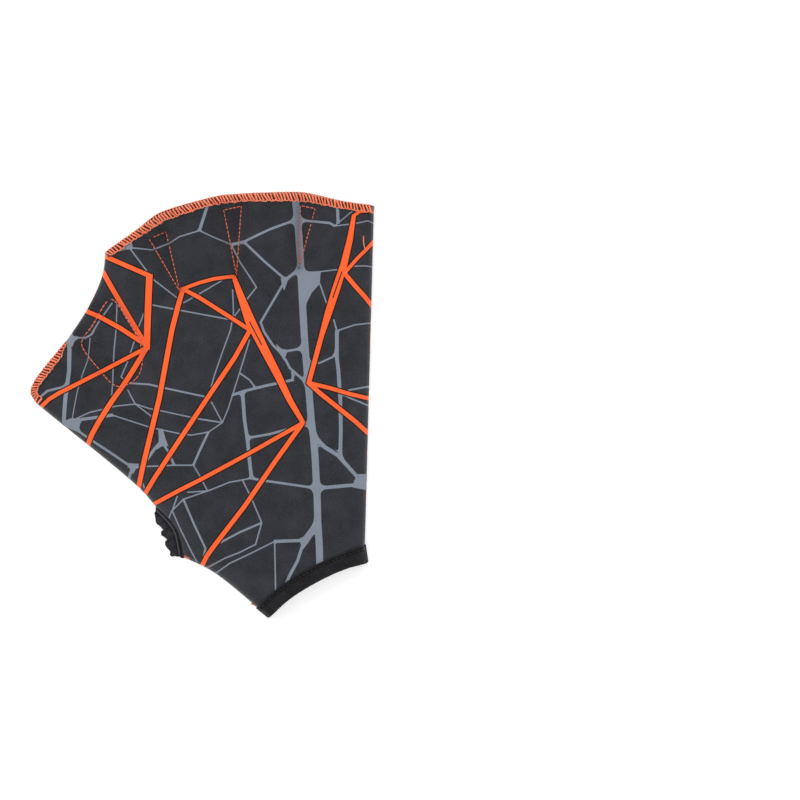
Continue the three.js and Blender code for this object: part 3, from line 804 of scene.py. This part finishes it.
def stretches(stroke, grow=0.0):
    """A stroke's four-sided stretches, mitred where it bends and square at its ends."""
    points, halves = parts_of(stroke)
    halves = halves + grow
    ways = [unit(b - a) for a, b in zip(points, points[1:])]
    points[0] = points[0] - ways[0] * halves[0] * END_SHARE
    points[-1] = points[-1] + ways[-1] * halves[-1] * END_SHARE
    joints = []
    for at in range(len(points)):
        before, after = turned(ways[max(at - 1, 0)]), turned(ways[min(at, len(ways) - 1)])
        joints.append((before + after) / max(1 + before @ after, MITRE_LIMIT) * halves[at])
    left, right = points + joints, points - joints
    return [np.array((left[at], left[at + 1], right[at + 1], right[at])) for at in range(len(ways))]


def leaving(stroke):
    """The two ends of a stroke: the end's place, the direction into it, half width and length."""
    points, halves = parts_of(stroke)
    ends = ((points[0], points[1], halves[0]), (points[-1], points[-2], halves[-1]))
    return [(end, unit(after - end), half, np.linalg.norm(after - end)) for end, after, half in ends]


def passing(stroke, place):
    """The two ways along a stroke from a place inside it, or none if it doesn't pass there."""
    points, halves = parts_of(stroke)
    for a, b, first, last in zip(points, points[1:], halves, halves[1:]):
        length = np.linalg.norm(b - a)
        share = (place - a) @ (b - a) / length ** 2
        half = first + (last - first) * share
        off = np.linalg.norm(place - a - share * (b - a))
        if 0 < share < 1 and off < half + PASSING:
            return [(unit(a - b), half, length), (unit(b - a), half, length)]
    return []


def snapped(strokes):
    """The strokes, with ends that nearly meet brought together, or onto the line they end at."""
    strokes = [(stroke[0], *(np.array(point, float) for point in stroke[1:])) for stroke in strokes]
    places = []
    moved = []
    for index, stroke in enumerate(strokes):
        widths, *points = stroke
        for end in (0, -1):
            near = [place for place in places if np.linalg.norm(place - points[end]) < SNAP]
            if near:
                points[end] = near[0]
                continue
            for other_index, other in enumerate(strokes):
                if other_index != index and passing(other, points[end]):
                    points[end] = foot_on(other, points[end])
                    break
            places.append(points[end])
        moved.append((widths, *points))
    return moved


def foot_on(stroke, place):
    """The nearest place to a point on a stroke's centre line."""
    feet = []
    for a, b in zip(stroke[1:], stroke[2:]):
        share = np.clip((place - a) @ (b - a) / ((b - a) @ (b - a)), 0, 1)
        feet.append(a + share * (b - a))
    return min(feet, key=lambda foot: np.linalg.norm(foot - place))


def fillets(strokes):
    """The rounded webs between grey lines that meet."""
    ends = [(index, *end) for index, stroke in enumerate(strokes) for end in leaving(stroke)]
    meetings = []
    for index, place, way, half, length in ends:
        near = [m for m in meetings if np.linalg.norm(m["place"] - place) < SNAP]
        if not near:
            near = [{"place": place, "ways": [], "strokes": set()}]
            meetings.extend(near)
        near[0]["ways"].append((way, half, length))
        near[0]["strokes"].add(index)
    webs = []
    for meeting in meetings:
        ways = list(meeting["ways"])
        for index, stroke in enumerate(strokes):
            if index not in meeting["strokes"]:
                ways.extend(passing(stroke, meeting["place"]))
        ways.sort(key=lambda way: math.atan2(way[0][1], way[0][0]))
        for a, b in zip(ways, ways[1:] + ways[:1]):
            sine = a[0][0] * b[0][1] - a[0][1] * b[0][0]
            if sine > FILLET_SINE and a[1] + b[1] > FILLET_LEAST:
                webs.append(fillet(meeting["place"], a, b, sine))
    return webs


def fillet(place, a, b, sine):
    """The web in one corner, from one line's side to the other's."""
    (a_way, a_half, a_length), (b_way, b_half, b_length) = a, b
    corner = place + (a_way * b_half + b_way * a_half) / sine
    reach = min(FILLET_SHARE * (a_half + b_half - FILLET_LEAST), FILLET_MOST)
    start = corner + a_way * min(reach, a_length * FILLET_RUN)
    finish = corner + b_way * min(reach, b_length * FILLET_RUN)
    ring = [corner]
    for step in range(FILLET_STEPS + 1):
        t = step / FILLET_STEPS
        ring.append((1 - t) ** 2 * start + 2 * t * (1 - t) * corner + t * t * finish)
    return np.array(ring)


# Each panel's places, grey lines and patches, orange lines and patches, and slits
PRINTS = {
    "palm": (spot, PALM_GREY, PALM_GREY_PATCHES, PALM_ORANGE, (), PALM_SLITS),
    "back": (spot_on_back, BACK_GREY, BACK_GREY_PATCHES, BACK_ORANGE, BACK_ORANGE_PATCHES, BACK_SLITS),
}


def printed_areas(panel):
    """The print's areas in millimetres, as (material, ring), later ones over earlier ones."""
    place, grey, grey_patches, orange, orange_patches, slits = PRINTS[panel]
    grey = snapped(grey)
    rings = [("grey", ring) for stroke in grey for ring in stretches(stroke)]
    rings += [("grey", ring) for ring in (*fillets(grey), *grey_patches)]
    rings += [("border", ring) for stroke in orange for ring in stretches(stroke, BORDER / 2)]
    rings += [("orange", ring) for stroke in orange for ring in stretches(stroke)]
    rings += [("orange", ring) for ring in orange_patches]
    rings += [("slit", ring) for stroke in slits for ring in stretches(stroke)]
    return [(kind, counter_clockwise(divided(place(ring), PRINT_SIDE))) for kind, ring in rings]


def divided(ring, longest):
    """The closed ring with points added, so that no side is longer than the given length."""
    points = []
    for a, b in zip(ring, np.roll(ring, -1, axis=0)):
        count = max(1, math.ceil(np.linalg.norm(b - a) / longest))
        points.extend(a + (b - a) * step / count for step in range(count))
    return np.array(points)


def signed_area(ring):
    """A ring's area, below nought where it runs clockwise."""
    x, y = ring[:, 0], ring[:, 1]
    return (x * np.roll(y, -1) - y * np.roll(x, -1)).sum() / 2


def counter_clockwise(ring):
    """The ring, turned round if it runs clockwise."""
    return ring if signed_area(ring) > 0 else ring[::-1]


def spilling(flat, cut, sources, rings):
    """The rings that the cutting let run over their own outline: slivers, better left out."""
    filled = np.zeros(len(rings))
    for corner, source in zip(cut, sources):
        filled[source] += abs(signed_area(flat[list(corner)]))
    allowed = [SPILL_SHARE * signed_area(ring) + SPILL_AREA for ring in rings]
    return {index for index, most in enumerate(allowed) if filled[index] > most}


def cloth_points(ring):
    """Loose points inside a panel's outline: a grid, rings along the edge and along stitches."""
    low, high = ring.min(0), ring.max(0)
    rows = np.arange(low[1], high[1], CLOTH_GRID * math.sqrt(3) / 2)
    grid = np.array([
        (x + CLOTH_GRID / 2 * (number % 2), y)
        for number, y in enumerate(rows) for x in np.arange(low[0], high[0], CLOTH_GRID)
    ])
    grid = grid[inside(grid, ring)]
    edge = [looped(ring)]
    sets = [grid[(distance(grid, edge) > EDGE_CLEAR) & (distance(grid, STITCHED) > STITCH_CLEAR)]]
    for depth in EDGE_RINGS:
        shifted = ring + inward_round(ring) * depth
        clear = distance(shifted, edge) > depth * CLEAR_SHARE
        sets.append(shifted[clear & inside(shifted, ring)])
    for line in STITCH_LINES:
        for depth in GROOVE_RINGS:
            shifted = line + inward_round(line) * depth
            clear = distance(shifted, edge) > EDGE_CLEAR
            if depth:
                clear &= distance(shifted, STITCHED) > abs(depth) * CLEAR_SHARE
            sets.append(shifted[clear])
    return np.vstack(sets)


def panel_ring(panel):
    """The cloth's own outline, which lies under the bands on its open edges."""
    depths = {"finger": THREAD_REACH, "thumb": THREAD_REACH, "wrist": BINDING_REACH, "seam": 0, "vent": 0}
    parts = []
    for name, line in EDGES[panel]:
        line = spaced(line, EDGE_SPACING)
        depth = np.full(len(line), float(depths[name]))
        depth[0] = 0
        parts.append((line + inward_of(line) * depth[:, None])[:-1])
    return np.vstack(parts)


PRINT_SLOTS = ("ground", "grey", "border", "orange", "slit")


def printed_shell(panel):
    """A panel's outer face: its outline and print, cut into one mesh and raised to its height."""
    ring = panel_ring(panel)
    areas = printed_areas(panel)
    corners = [counter_clockwise(ring), *(area for _, area in areas), cloth_points(ring)]
    starts = np.cumsum([0] + [len(part) for part in corners])
    faces = [list(range(a, b)) for a, b in zip(starts[:-2], starts[1:-1])]
    points = [Vector(point) for point in np.vstack(corners)]
    made, _, cut, _, _, sources = delaunay_2d_cdt(points, [], faces, 1, CUT_TOLERANCE, True)
    flat = np.array([tuple(point) for point in made])
    height = FACES[panel](flat)
    spilled = spilling(flat, cut, sources, corners[:-1])
    shell = bmesh.new()
    verts = [shell.verts.new((x * MM, y * MM, z * MM)) for (x, y), z in zip(flat, height)]
    for corner, source in zip(cut, sources):
        if 0 not in source:
            continue
        face = shell.faces.new([verts[index] for index in corner])
        kinds = [areas[index - 1][0] for index in source if index and index not in spilled]
        face.material_index = max((PRINT_SLOTS.index(kind) for kind in kinds), default=0)
    bmesh.ops.delete(shell, geom=[v for v in shell.verts if not v.link_faces], context="VERTS")
    bmesh.ops.remove_doubles(shell, verts=shell.verts, dist=CUT_MERGE * MM)
    bmesh.ops.dissolve_degenerate(shell, edges=shell.edges, dist=CUT_SLIVER * MM)
    turn_faces(shell, OUTWARD[panel])
    return shell


def turn_faces(shape, outward):
    """Makes a sheet smooth, with its faces turned up or, below nought, down."""
    bmesh.ops.recalc_face_normals(shape, faces=shape.faces)
    if sum(face.normal.z for face in shape.faces) * outward < 0:
        bmesh.ops.reverse_faces(shape, faces=shape.faces)
    smooth(shape)


def smooth(shape):
    """Smooth shading on every face."""
    for face in shape.faces:
        face.smooth = True


def add_wall(piece, thickness):
    """Gives a piece its thickness, inward from its outer face."""
    walls = piece.modifiers.new("wall", "SOLIDIFY")
    walls.thickness = thickness * MM
    walls.offset = -1
    return walls


def make_cloth(name, panel, materials):
    """A panel's cloth, lined on its inner face."""
    piece = piece_from(printed_shell(panel), name, materials)
    walls = add_wall(piece, SEAM_WALL)
    walls.material_offset = walls.material_offset_rim = len(PRINT_SLOTS)
    return piece


def linked(name, data):
    """A new object in the scene."""
    piece = bpy.data.objects.new(name, data)
    bpy.context.scene.collection.objects.link(piece)
    return piece


def piece_from(shape, name, materials):
    """Turns a bmesh into an object with its materials."""
    mesh = bpy.data.meshes.new(name)
    shape.to_mesh(mesh)
    shape.free()
    for material in materials:
        mesh.materials.append(material)
    return linked(name, mesh)


def threads(name, strands, material):
    """Many short threads as one mesh: each strand is its radius and its points in millimetres."""
    curve = bpy.data.curves.new(name, "CURVE")
    curve.dimensions = "3D"
    curve.bevel_depth = 1
    curve.bevel_resolution = 1
    curve.use_fill_caps = True
    for radius, points in strands:
        strand = curve.splines.new("POLY")
        strand.points.add(len(points) - 1)
        for knot, point in zip(strand.points, points):
            knot.co = (*(np.array(point) * MM), 1)
            knot.radius = radius * MM
        strand.use_smooth = True
    drawn = linked(name, curve)
    graph = bpy.context.evaluated_depsgraph_get()
    mesh = bpy.data.meshes.new_from_object(drawn.evaluated_get(graph))
    bpy.data.objects.remove(drawn)
    mesh.name = name
    mesh.materials.clear()
    mesh.materials.append(material)
    return linked(name, mesh)


def band_width(line, edge):
    """The overlock's width along its edge as a share: the thumb's tapers off at its top end."""
    if edge != "thumb":
        return np.ones(len(line))
    return np.clip((line[:, 1].max() - line[:, 1]) / TAPER_LENGTH, TAPER_LEAST, 1)


def overlock_strands(panel, edge, chance):
    """The overlock of one edge: rungs that lean over the edge, and the chain along their inner ends."""
    line = spaced(edge_line(panel, edge), STITCH_PITCH / 4)
    top = RUNG_TOP[0] + RUNG_RADIUS * RUNG_TOP[1]
    widths = band_width(line, edge)
    strands = []
    for number in range(int((len(line) - 1) / 4)):
        width = widths[4 * number + 2]
        start = (number + 0.5) * STITCH_PITCH + chance.uniform(-PLACE_SPREAD, PLACE_SPREAD)
        depth = (LOOP_DEPTH + chance.uniform(-DEPTH_SPREAD, DEPTH_SPREAD)) * width
        lean = (STITCH_LEAN + chance.uniform(-LEAN_SPREAD, LEAN_SPREAD)) * STITCH_PITCH * width
        radius = RUNG_RADIUS * chance.uniform(*THICKNESS_SPREAD)
        for thickness, knots in ((radius, RUNG_KNOTS), (CHAIN_RADIUS, CHAIN_KNOTS)):
            strands.append((thickness, [
                (start + lean * leans + STITCH_PITCH * pitches, depth * share + added, top * tops + lift)
                for leans, pitches, share, added, tops, lift in knots
            ]))
    return placed(panel, line, strands)


def placed(panel, line, strands):
    """Strands given as (along the line, depth inward, lift off the cloth), as places in the frame."""
    knots = np.array([knot for _, knots in strands for knot in knots])
    marks = lengths_along(line)
    along = np.clip(knots[:, 0], 0, marks[-1])
    base = read_off(line, marks, along)
    side = units(read_off(inward_of(line), marks, along))
    least = THREAD_REACH if (knots[:, 1] > 0).any() else 0
    height = FACES[panel](base + side * np.maximum(knots[:, 1:2], least)) + OUTWARD[panel] * knots[:, 2]
    radius = np.concatenate([[radius] * len(knots) for radius, knots in strands])
    places = np.column_stack((base + side * knots[:, 1:2], np.maximum(height, radius)))
    starts = np.cumsum([0] + [len(knots) for _, knots in strands])
    return [(radius, places[a:b]) for (radius, _), a, b in zip(strands, starts, starts[1:])]


def dash_strands(panel, line, stitch, chance, lifts=WEB_LIFTS):
    """Lockstitch along a line: each stitch rises from the cloth and goes back into it."""
    pitch, length, radius = stitch
    line = spaced(line, DASH_SPACING)
    dashes = []
    for number in range(int((len(line) - 1) * DASH_SPACING / pitch)):
        start = number * pitch + chance.uniform(0, DASH_SHIFT)
        long = length * chance.uniform(*DASH_LENGTHS)
        dashes.append((radius, [(start + share * long, 0, lifts[which]) for share, which in DASH_ARCH]))
    return placed(panel, line, dashes)


def web_lines():
    """Each web's stitching as one line: down one side, up the other and along the bar."""
    return [spot((web[0], web[2], web[1], web[0])) for web in WEBS]


def loop_line():
    """The stitching of the loop beside the thumb."""
    return looped(LOOP_RING)


def add(tree, kind, settings=(), **links):
    """Adds a shader node with its settings, and links or sets its inputs by name or number."""
    node = tree.nodes.new(kind)
    for key, value in dict(settings).items():
        setattr(node, key, value)
    for key, value in links.items():
        socket = node.inputs[int(key[1:])] if key[1:].isdigit() else node.inputs[key.replace("_", " ")]
        if isinstance(value, bpy.types.NodeSocket):
            tree.links.new(value, socket)
        else:
            socket.default_value = value
    return node


def fabric(name, dark, light, speckle, mottle, rows, bump, roughness, sheen):
    """A matt textile: a colour that varies with its fibres, and a fine relief.

    speckle and mottle are the sizes of the fine and the broad variation, and rows is the pitch of
    the knit's rows or of the thread's twist, all in millimetres."""
    material = bpy.data.materials.new(name)
    material.use_nodes = True
    tree = material.node_tree
    shader = tree.nodes["Principled BSDF"]
    place = add(tree, "ShaderNodeTexCoord").outputs["Object"]
    fine = add(tree, "ShaderNodeTexNoise", Vector=place, Scale=1 / (speckle * MM), Detail=3.0,
               Roughness=0.6).outputs[0]
    broad = add(tree, "ShaderNodeTexNoise", Vector=place, Scale=1 / (mottle * MM), Detail=2.0).outputs[0]
    broad = add(tree, "ShaderNodeMath", {"operation": "MULTIPLY"}, _0=broad, _1=BROAD_SHARE).outputs[0]
    both = add(tree, "ShaderNodeMath", {"operation": "MULTIPLY_ADD"}, _0=fine, _1=FINE_SHARE, _2=broad)
    share = add(tree, "ShaderNodeMapRange", Value=both.outputs[0], From_Min=SHADE_RANGE[0],
                From_Max=SHADE_RANGE[1])
    colour = add(tree, "ShaderNodeMix", {"data_type": "RGBA"}, Factor=share.outputs[0],
                 _6=linear(dark), _7=linear(light)).outputs[2]
    tree.links.new(colour, shader.inputs["Base Color"])
    relief = add(tree, "ShaderNodeMath", {"operation": "ADD"}, _0=knit_rows(tree, place, rows), _1=fine)
    raised = add(tree, "ShaderNodeBump", Strength=RELIEF, Distance=bump * MM, Height=relief.outputs[0])
    tree.links.new(raised.outputs[0], shader.inputs["Normal"])
    for socket, value in (("Roughness", roughness), ("Sheen Weight", sheen), ("Sheen Roughness", 0.5),
                          ("Specular IOR Level", GLOSS)):
        shader.inputs[socket].default_value = value
    return material


def knit_rows(tree, place, rows):
    """The knit's wales crossed with its courses, as a height."""
    waves = [
        add(tree, "ShaderNodeTexWave", {"bands_direction": way}, Vector=place,
            Distortion=WAVE_DISTORTION, Scale=WAVE_LENGTH / (pitch * MM), Detail=1.0,
            Detail_Scale=2.0).outputs[1]
        for way, pitch in (("X", rows), ("Y", rows * COURSE_SHARE))
    ]
    return add(tree, "ShaderNodeMath", {"operation": "MULTIPLY"}, _0=waves[0], _1=waves[1]).outputs[0]


def make_materials():
    """Every finish of the glove."""
    cloth = dict(speckle=0.45, mottle=9, rows=0.9, bump=0.12, roughness=0.9, sheen=0.16)
    thread = dict(speckle=0.5, mottle=2.2, rows=0.6, bump=0.15, roughness=0.55, sheen=0.2)
    tape = dict(speckle=0.7, mottle=6, rows=1.1, bump=0.25, roughness=0.95)
    return {
        "ground": fabric("charcoal_jersey", "charcoal", "charcoal_light", **cloth),
        "grey": fabric("grey_printed_jersey", "grey_print", "grey_print_light", **cloth),
        "border": fabric("dark_print_edge", "border", "border", **cloth),
        "orange": fabric("orange_printed_jersey", "orange_print", "orange_print_light", **cloth),
        "lining": fabric("jersey_lining", "lining", "charcoal", **cloth),
        # the overlock thread's pale tone is partly painted highlight
        "thread": fabric("orange_overlock_thread", "thread", "thread_painted_highlight", **thread),
        # the bed's dark colour is painted shade between the overlock's loops
        "bed": fabric("thread_painted_shade", "thread_bed_painted_shade", "thread_bed_painted_shade_light", **thread),
        "web_thread": fabric("orange_lockstitch_thread", "web_thread", "web_thread_light", **thread),
        "black_thread": fabric("black_thread", "black_thread", "black_thread_light", **thread),
        "elastic": fabric("charcoal_gathered_elastic", "elastic", "elastic_light", speckle=0.6, mottle=4,
                          rows=0.8, bump=0.2, roughness=0.9, sheen=0.08),
        # painted shade: the binding's groove takes this darker finish without sheen
        "groove": fabric("seam_groove_painted_shade", "border", "black_thread", **tape, sheen=0.0),
        # the cord is coloured lighter than the elastic as painted highlight on its ridge
        "cord": fabric("elastic_cord_painted_highlight", "cord", "cord_light", **thread),
        "knit": fabric("black_knit_tape", "knit", "knit_light", **tape, sheen=0.05),
    }


def ready(piece, slot, *nodes):
    """Rides a piece on the glove and hides the solids that it stands for."""
    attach(piece, "root")
    if nodes:
        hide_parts(*nodes)


def edge_line(panel, edge):
    """A panel's edge of that name."""
    return next(line for name, line in EDGES[panel] if name == edge)


def folded_sections(panel, base, ways, profile, reach, widths=1.0):
    """Sections of a band folded over a panel's open edge, one for each point of the base line."""
    outward = OUTWARD[panel]
    columns = []
    for depth, side, lift in profile:
        inward = np.broadcast_to(widths * depth, len(base))[:, None]
        foot = base + ways * np.maximum(inward, reach)
        height = FACES[panel](foot)
        if side > 0:
            height = height + outward * lift
        else:
            height = height - outward * (SEAM_WALL + lift if side else SEAM_WALL / 2)
            middle = (palm_height(foot) + back_height(foot)) / 2
            limit = np.maximum if outward > 0 else np.minimum
            height = limit(height, middle + outward * (INNER_CLEAR + FOLD_CLEAR * (side + 1)))
        columns.append(np.column_stack((base + ways * inward, height)))
    return np.stack(columns, 1)


def turn_between(first, last, outward):
    """Sections round a sewn edge, from one panel's last section to the other's first."""
    middle, half = (first + last) / 2, (first - last) / 2
    reach = np.linalg.norm(half, axis=1)[:, None] * BINDING_BULGE
    outward = np.array((*outward, 0))
    angles = [step * math.pi / (BINDING_TURNS + 1) for step in range(1, BINDING_TURNS + 1)]
    return [middle + half * math.cos(angle) + outward * reach * math.sin(angle) for angle in angles]


def band(name, sections, wall, materials, painted_shade_columns=()):
    """A band of cloth or thread through its sections, with a wall under its outer skin."""
    rows, columns = len(sections) - 1, len(sections[0]) - 1
    shape = bmesh.new()
    bmesh.ops.create_grid(shape, x_segments=rows, y_segments=columns, size=0.5)
    for face in shape.faces:
        # faces in the painted shade columns take the band's second, darker material
        face.material_index = int((face.calc_center_median().y + 0.5) * columns) in painted_shade_columns
    for vert in shape.verts:
        row, column = round((vert.co.x + 0.5) * rows), round((vert.co.y + 0.5) * columns)
        vert.co = sections[row][column] * MM
    bmesh.ops.remove_doubles(shape, verts=shape.verts, dist=BAND_MERGE * MM)
    bmesh.ops.recalc_face_normals(shape, faces=shape.faces)
    top = max(shape.faces, key=lambda face: face.calc_center_median().z)
    low = min(shape.faces, key=lambda face: face.calc_center_median().z)
    outer = top if "back" not in name else low
    if (outer.normal.z > 0) != (outer is top):
        bmesh.ops.reverse_faces(shape, faces=shape.faces)
    smooth(shape)
    piece = piece_from(shape, name, materials)
    add_wall(piece, wall)
    return piece


def wrist_run():
    """The binding's base line along the wrist and its ways inward, turned to the seams at its ends."""
    line = edge_line("palm", "wrist")
    base = spaced(line, lengths_along(line)[-1] / BINDING_STEPS)
    ways = inward_of(base)
    wrist = next(index for index, (name, _) in enumerate(OUTLINE) if name == "wrist")
    before, after = EDGES["palm"][wrist - 1][1][::-1], EDGES["palm"][wrist + 1][1]
    shares = (near_end(base)[:, None], near_end(base)[::-1, None])
    for seam, share in zip((before, after), shares):
        ways = ways * (1 - share) + unit(seam[WAY_POINTS] - seam[0]) * share
    return base, units(ways)


def near_end(base):
    """A share along a line: 1 at its start, down to 0 a little way on."""
    return np.clip(1 - np.linspace(0, 1, len(base)) / BINDING_BLEND, 0, 1)


def flared(sections, profile):
    """Sections of the binding, drawn out to its flared end on the little finger's side."""
    base, ways = wrist_run()
    share = near_end(base) if base[0, 0] > base[-1, 0] else near_end(base)[::-1]
    end = -1 if share[-1] > share[0] else 0
    edge, deep = spot(BINDING_FLARE)
    deepest = BINDING_PROFILE[0][0]
    at_edge, at_depth = edge - base[end], deep - base[end] - ways[end] * deepest
    sections = sections.copy()
    for column, (depth, _, _) in enumerate(profile):
        shift = at_edge + (at_depth - at_edge) * depth / deepest
        sections[:, column, :2] += share[:, None] * shift
    return sections


def make_binding(name, materials):
    """The knit binding, one ring: over the palm's wrist edge, round the seam and over the back's."""
    base, ways = wrist_run()
    palm, back = (
        flared(folded_sections(panel, base, ways, BINDING_PROFILE, BINDING_REACH), BINDING_PROFILE)
        for panel in ("palm", "back")
    )
    back = back[::-1]
    onward = unit(base[-1] - base[-2])
    backward = unit(base[0] - base[1])
    sections = [*palm, *turn_between(palm[-1], back[0], onward), *back]
    sections += [*turn_between(back[-1], palm[0], backward), palm[0]]
    return band(name, sections, BINDING_WALL, materials, BINDING_SHADED_GROOVE)


def binding_stitches(panel, chance):
    """The black stitches along the binding, sunk in its groove."""
    base, ways = wrist_run()
    seam = flared((base + ways * BINDING_SEAM)[:, None], ((BINDING_SEAM, 1, 0),))
    return dash_strands(panel, seam[:, 0], BINDING_STITCH, chance, BINDING_LIFTS)


def make_bed(name, panel, edge, material):
    """The thread's bed under the overlock's loops, coloured dark as painted shade in the gaps between
    them.
    """
    base = spaced(edge_line(panel, edge), BED_SPACING)
    widths = band_width(base, edge)
    sections = folded_sections(panel, base, inward_of(base), THREAD_PROFILE, THREAD_REACH, widths)
    return band(name, sections, THREAD_WALL, [material])


def make_ruffle(name, material):
    """The gathered elastic: a pleated sheet from under the cloth's edge out to its scalloped rim."""
    base = spaced(inset(edge_line("palm", "vent"), RUFFLE_INSET), RUFFLE_SPACING)
    rim = spline(spot(RUFFLE_RIM), RUFFLE_SPACING)
    strength, tone = RUFFLE_OVERTONE
    droop, droop_from = RUFFLE_DROOP
    shape = bmesh.new()
    bmesh.ops.create_grid(shape, x_segments=RUFFLE_GRID[0], y_segments=RUFFLE_GRID[1], size=0.5)
    for vert in shape.verts:
        u, v = vert.co.x + 0.5, vert.co.y + 0.5
        foot, tip = (read_off(line, np.linspace(0, 1, len(line)), u) for line in (base, rim))
        wave = math.cos(math.tau * RUFFLE_PLEATS * u)
        wave += strength * math.sin(math.tau * tone * RUFFLE_PLEATS * u)
        out = v * math.dist(foot, tip) - RUFFLE_INSET
        cord = CORD_OUT[0] + (CORD_OUT[1] - CORD_OUT[0]) * u
        creases = sum(math.exp(-((out - cord - way * CREASE_OUT) / CREASE_WIDTH) ** 2) for way in (-1, 1))
        height = RUFFLE_HEIGHT + RUFFLE_LIFT * wave * v - droop * max(v - droop_from, 0)
        height = max(height - CREASE_DEPTH * creases, RUFFLE_WALL)
        x, y = foot + (tip - foot) * v
        vert.co = (x * MM, y * MM, height * MM)
    turn_faces(shape, 1)
    piece = piece_from(shape, name, [material])
    add_wall(piece, RUFFLE_WALL)
    return piece


def ruffle_cord():
    """The thin cord between the cloth's edge and the pleats."""
    base = spaced(edge_line("palm", "vent"), CORD_SPACING)
    out = np.linspace(*CORD_OUT, len(base))[:, None]
    line = (base - inward_of(base) * out)[1:-1]
    return [(CORD_RADIUS, [(x, y, CORD_HEIGHT) for x, y in line])]


def thread_ends():
    """Loose ends of the overlock thread at the seams."""
    strands = []
    for end in THREAD_ENDS:
        line = spline(spot(end), THREAD_END_SPACING)
        height = np.maximum(palm_height(line), THREAD_END_HEIGHT)
        strands.append((THREAD_END_RADIUS, np.column_stack((line, height))))
    return strands


def set_camera():
    """The camera, straight over the photograph's middle."""
    middle = spot((PHOTO_SIZE / 2, PHOTO_SIZE / 2)) * MM
    lens = bpy.data.cameras.new("camera")
    lens.sensor_width = CAMERA_SENSOR
    lens.lens = lens.sensor_width * CAMERA_HEIGHT / (PHOTO_SIZE * PIXEL * MM)
    camera = linked("camera", lens)
    camera.location = (*middle, CAMERA_HEIGHT + CAMERA_FOCUS * MM)
    bpy.context.scene.camera = camera


def set_floor():
    """A pale, faintly glowing floor, a hair under the glove."""
    ground = bmesh.new()
    bmesh.ops.create_grid(ground, x_segments=1, y_segments=1, size=FLOOR_SIZE)
    bmesh.ops.translate(ground, verts=ground.verts, vec=(0, 0, -FLOOR_DROP * MM))
    paper = bpy.data.materials.new("pale_paper")
    paper.use_nodes = True
    shader = paper.node_tree.nodes["Principled BSDF"]
    for socket, value in (("Base Color", linear("floor")), ("Roughness", FLOOR_ROUGHNESS),
                          ("Emission Color", linear("floor")), ("Emission Strength", FLOOR_GLOW)):
        shader.inputs[socket].default_value = value
    piece_from(ground, "floor", [paper])


def set_lights():
    """An even white studio and two soft lamps."""
    world = bpy.data.worlds.new("studio")
    world.use_nodes = True
    background = world.node_tree.nodes["Background"].inputs
    background["Color"].default_value = (1, 1, 1, 1)
    background["Strength"].default_value = STUDIO_LIGHT
    bpy.context.scene.world = world
    for name, place, size, power in LAMPS:
        light = bpy.data.lights.new(name, "AREA")
        light.size = size
        light.energy = power
        lamp = linked(name, light)
        lamp.location = place
        lamp.rotation_euler = (-Vector(place)).to_track_quat("-Z", "Y").to_euler()
    bpy.context.scene.view_settings.view_transform = "Standard"


def dress_panel(panel, finishes, chance):
    """A panel's cloth with its print, its overlocked edges and its stitching."""
    printed = [finishes[key] for key in ("ground", "grey", "border", "orange", "border", "lining")]
    cloth = make_cloth(f"{panel}_cloth", panel, printed)
    ready(cloth, "printed_stretch_cloth", f"{panel}_panel")
    for edge in ("finger", "thumb"):
        bed = make_bed(f"{edge}_overlock_bed_{panel}", panel, edge, finishes["bed"])
        ready(bed, "overlock_thread", f"{edge}_edge_overlock_{panel}")
        strands = overlock_strands(panel, edge, chance)
        ready(threads(f"{edge}_overlock_loops_{panel}", strands, finishes["thread"]), "overlock_thread")
    dashes = [strand for line in web_lines() for strand in dash_strands(panel, line, WEB_STITCH, chance)]
    dashes += dash_strands(panel, loop_line(), LOOP_STITCH, chance)
    ready(threads(f"web_stitches_{panel}", dashes, finishes["web_thread"]), "overlock_thread")
    strands = binding_stitches(panel, chance)
    ready(threads(f"binding_stitches_{panel}", strands, finishes["black_thread"]), "black_knit")


def dress_wrist(finishes):
    """The binding, the gathered elastic with its cord, and the loose thread ends."""
    binding = make_binding("knit_binding", [finishes["knit"], finishes["groove"]])
    ready(binding, "black_knit", "wrist_binding")
    ready(make_ruffle("gathered_ruffle", finishes["elastic"]), "black_knit", "gathered_trim")
    ready(threads("ruffle_cord", ruffle_cord(), finishes["cord"]), "black_knit")
    ready(threads("seam_thread_ends", thread_ends(), finishes["web_thread"]), "overlock_thread")


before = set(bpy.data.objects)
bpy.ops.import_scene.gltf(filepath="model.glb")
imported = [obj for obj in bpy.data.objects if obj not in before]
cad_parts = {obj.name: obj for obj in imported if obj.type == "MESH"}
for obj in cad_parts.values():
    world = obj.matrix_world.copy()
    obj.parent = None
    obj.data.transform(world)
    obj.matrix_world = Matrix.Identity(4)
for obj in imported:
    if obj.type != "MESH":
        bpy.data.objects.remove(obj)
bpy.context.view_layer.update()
set_camera()
set_floor()
set_lights()
finishes = make_materials()
chance = random.Random(7)
for panel in ("palm", "back"):
    dress_panel(panel, finishes, chance)
dress_wrist(finishes)
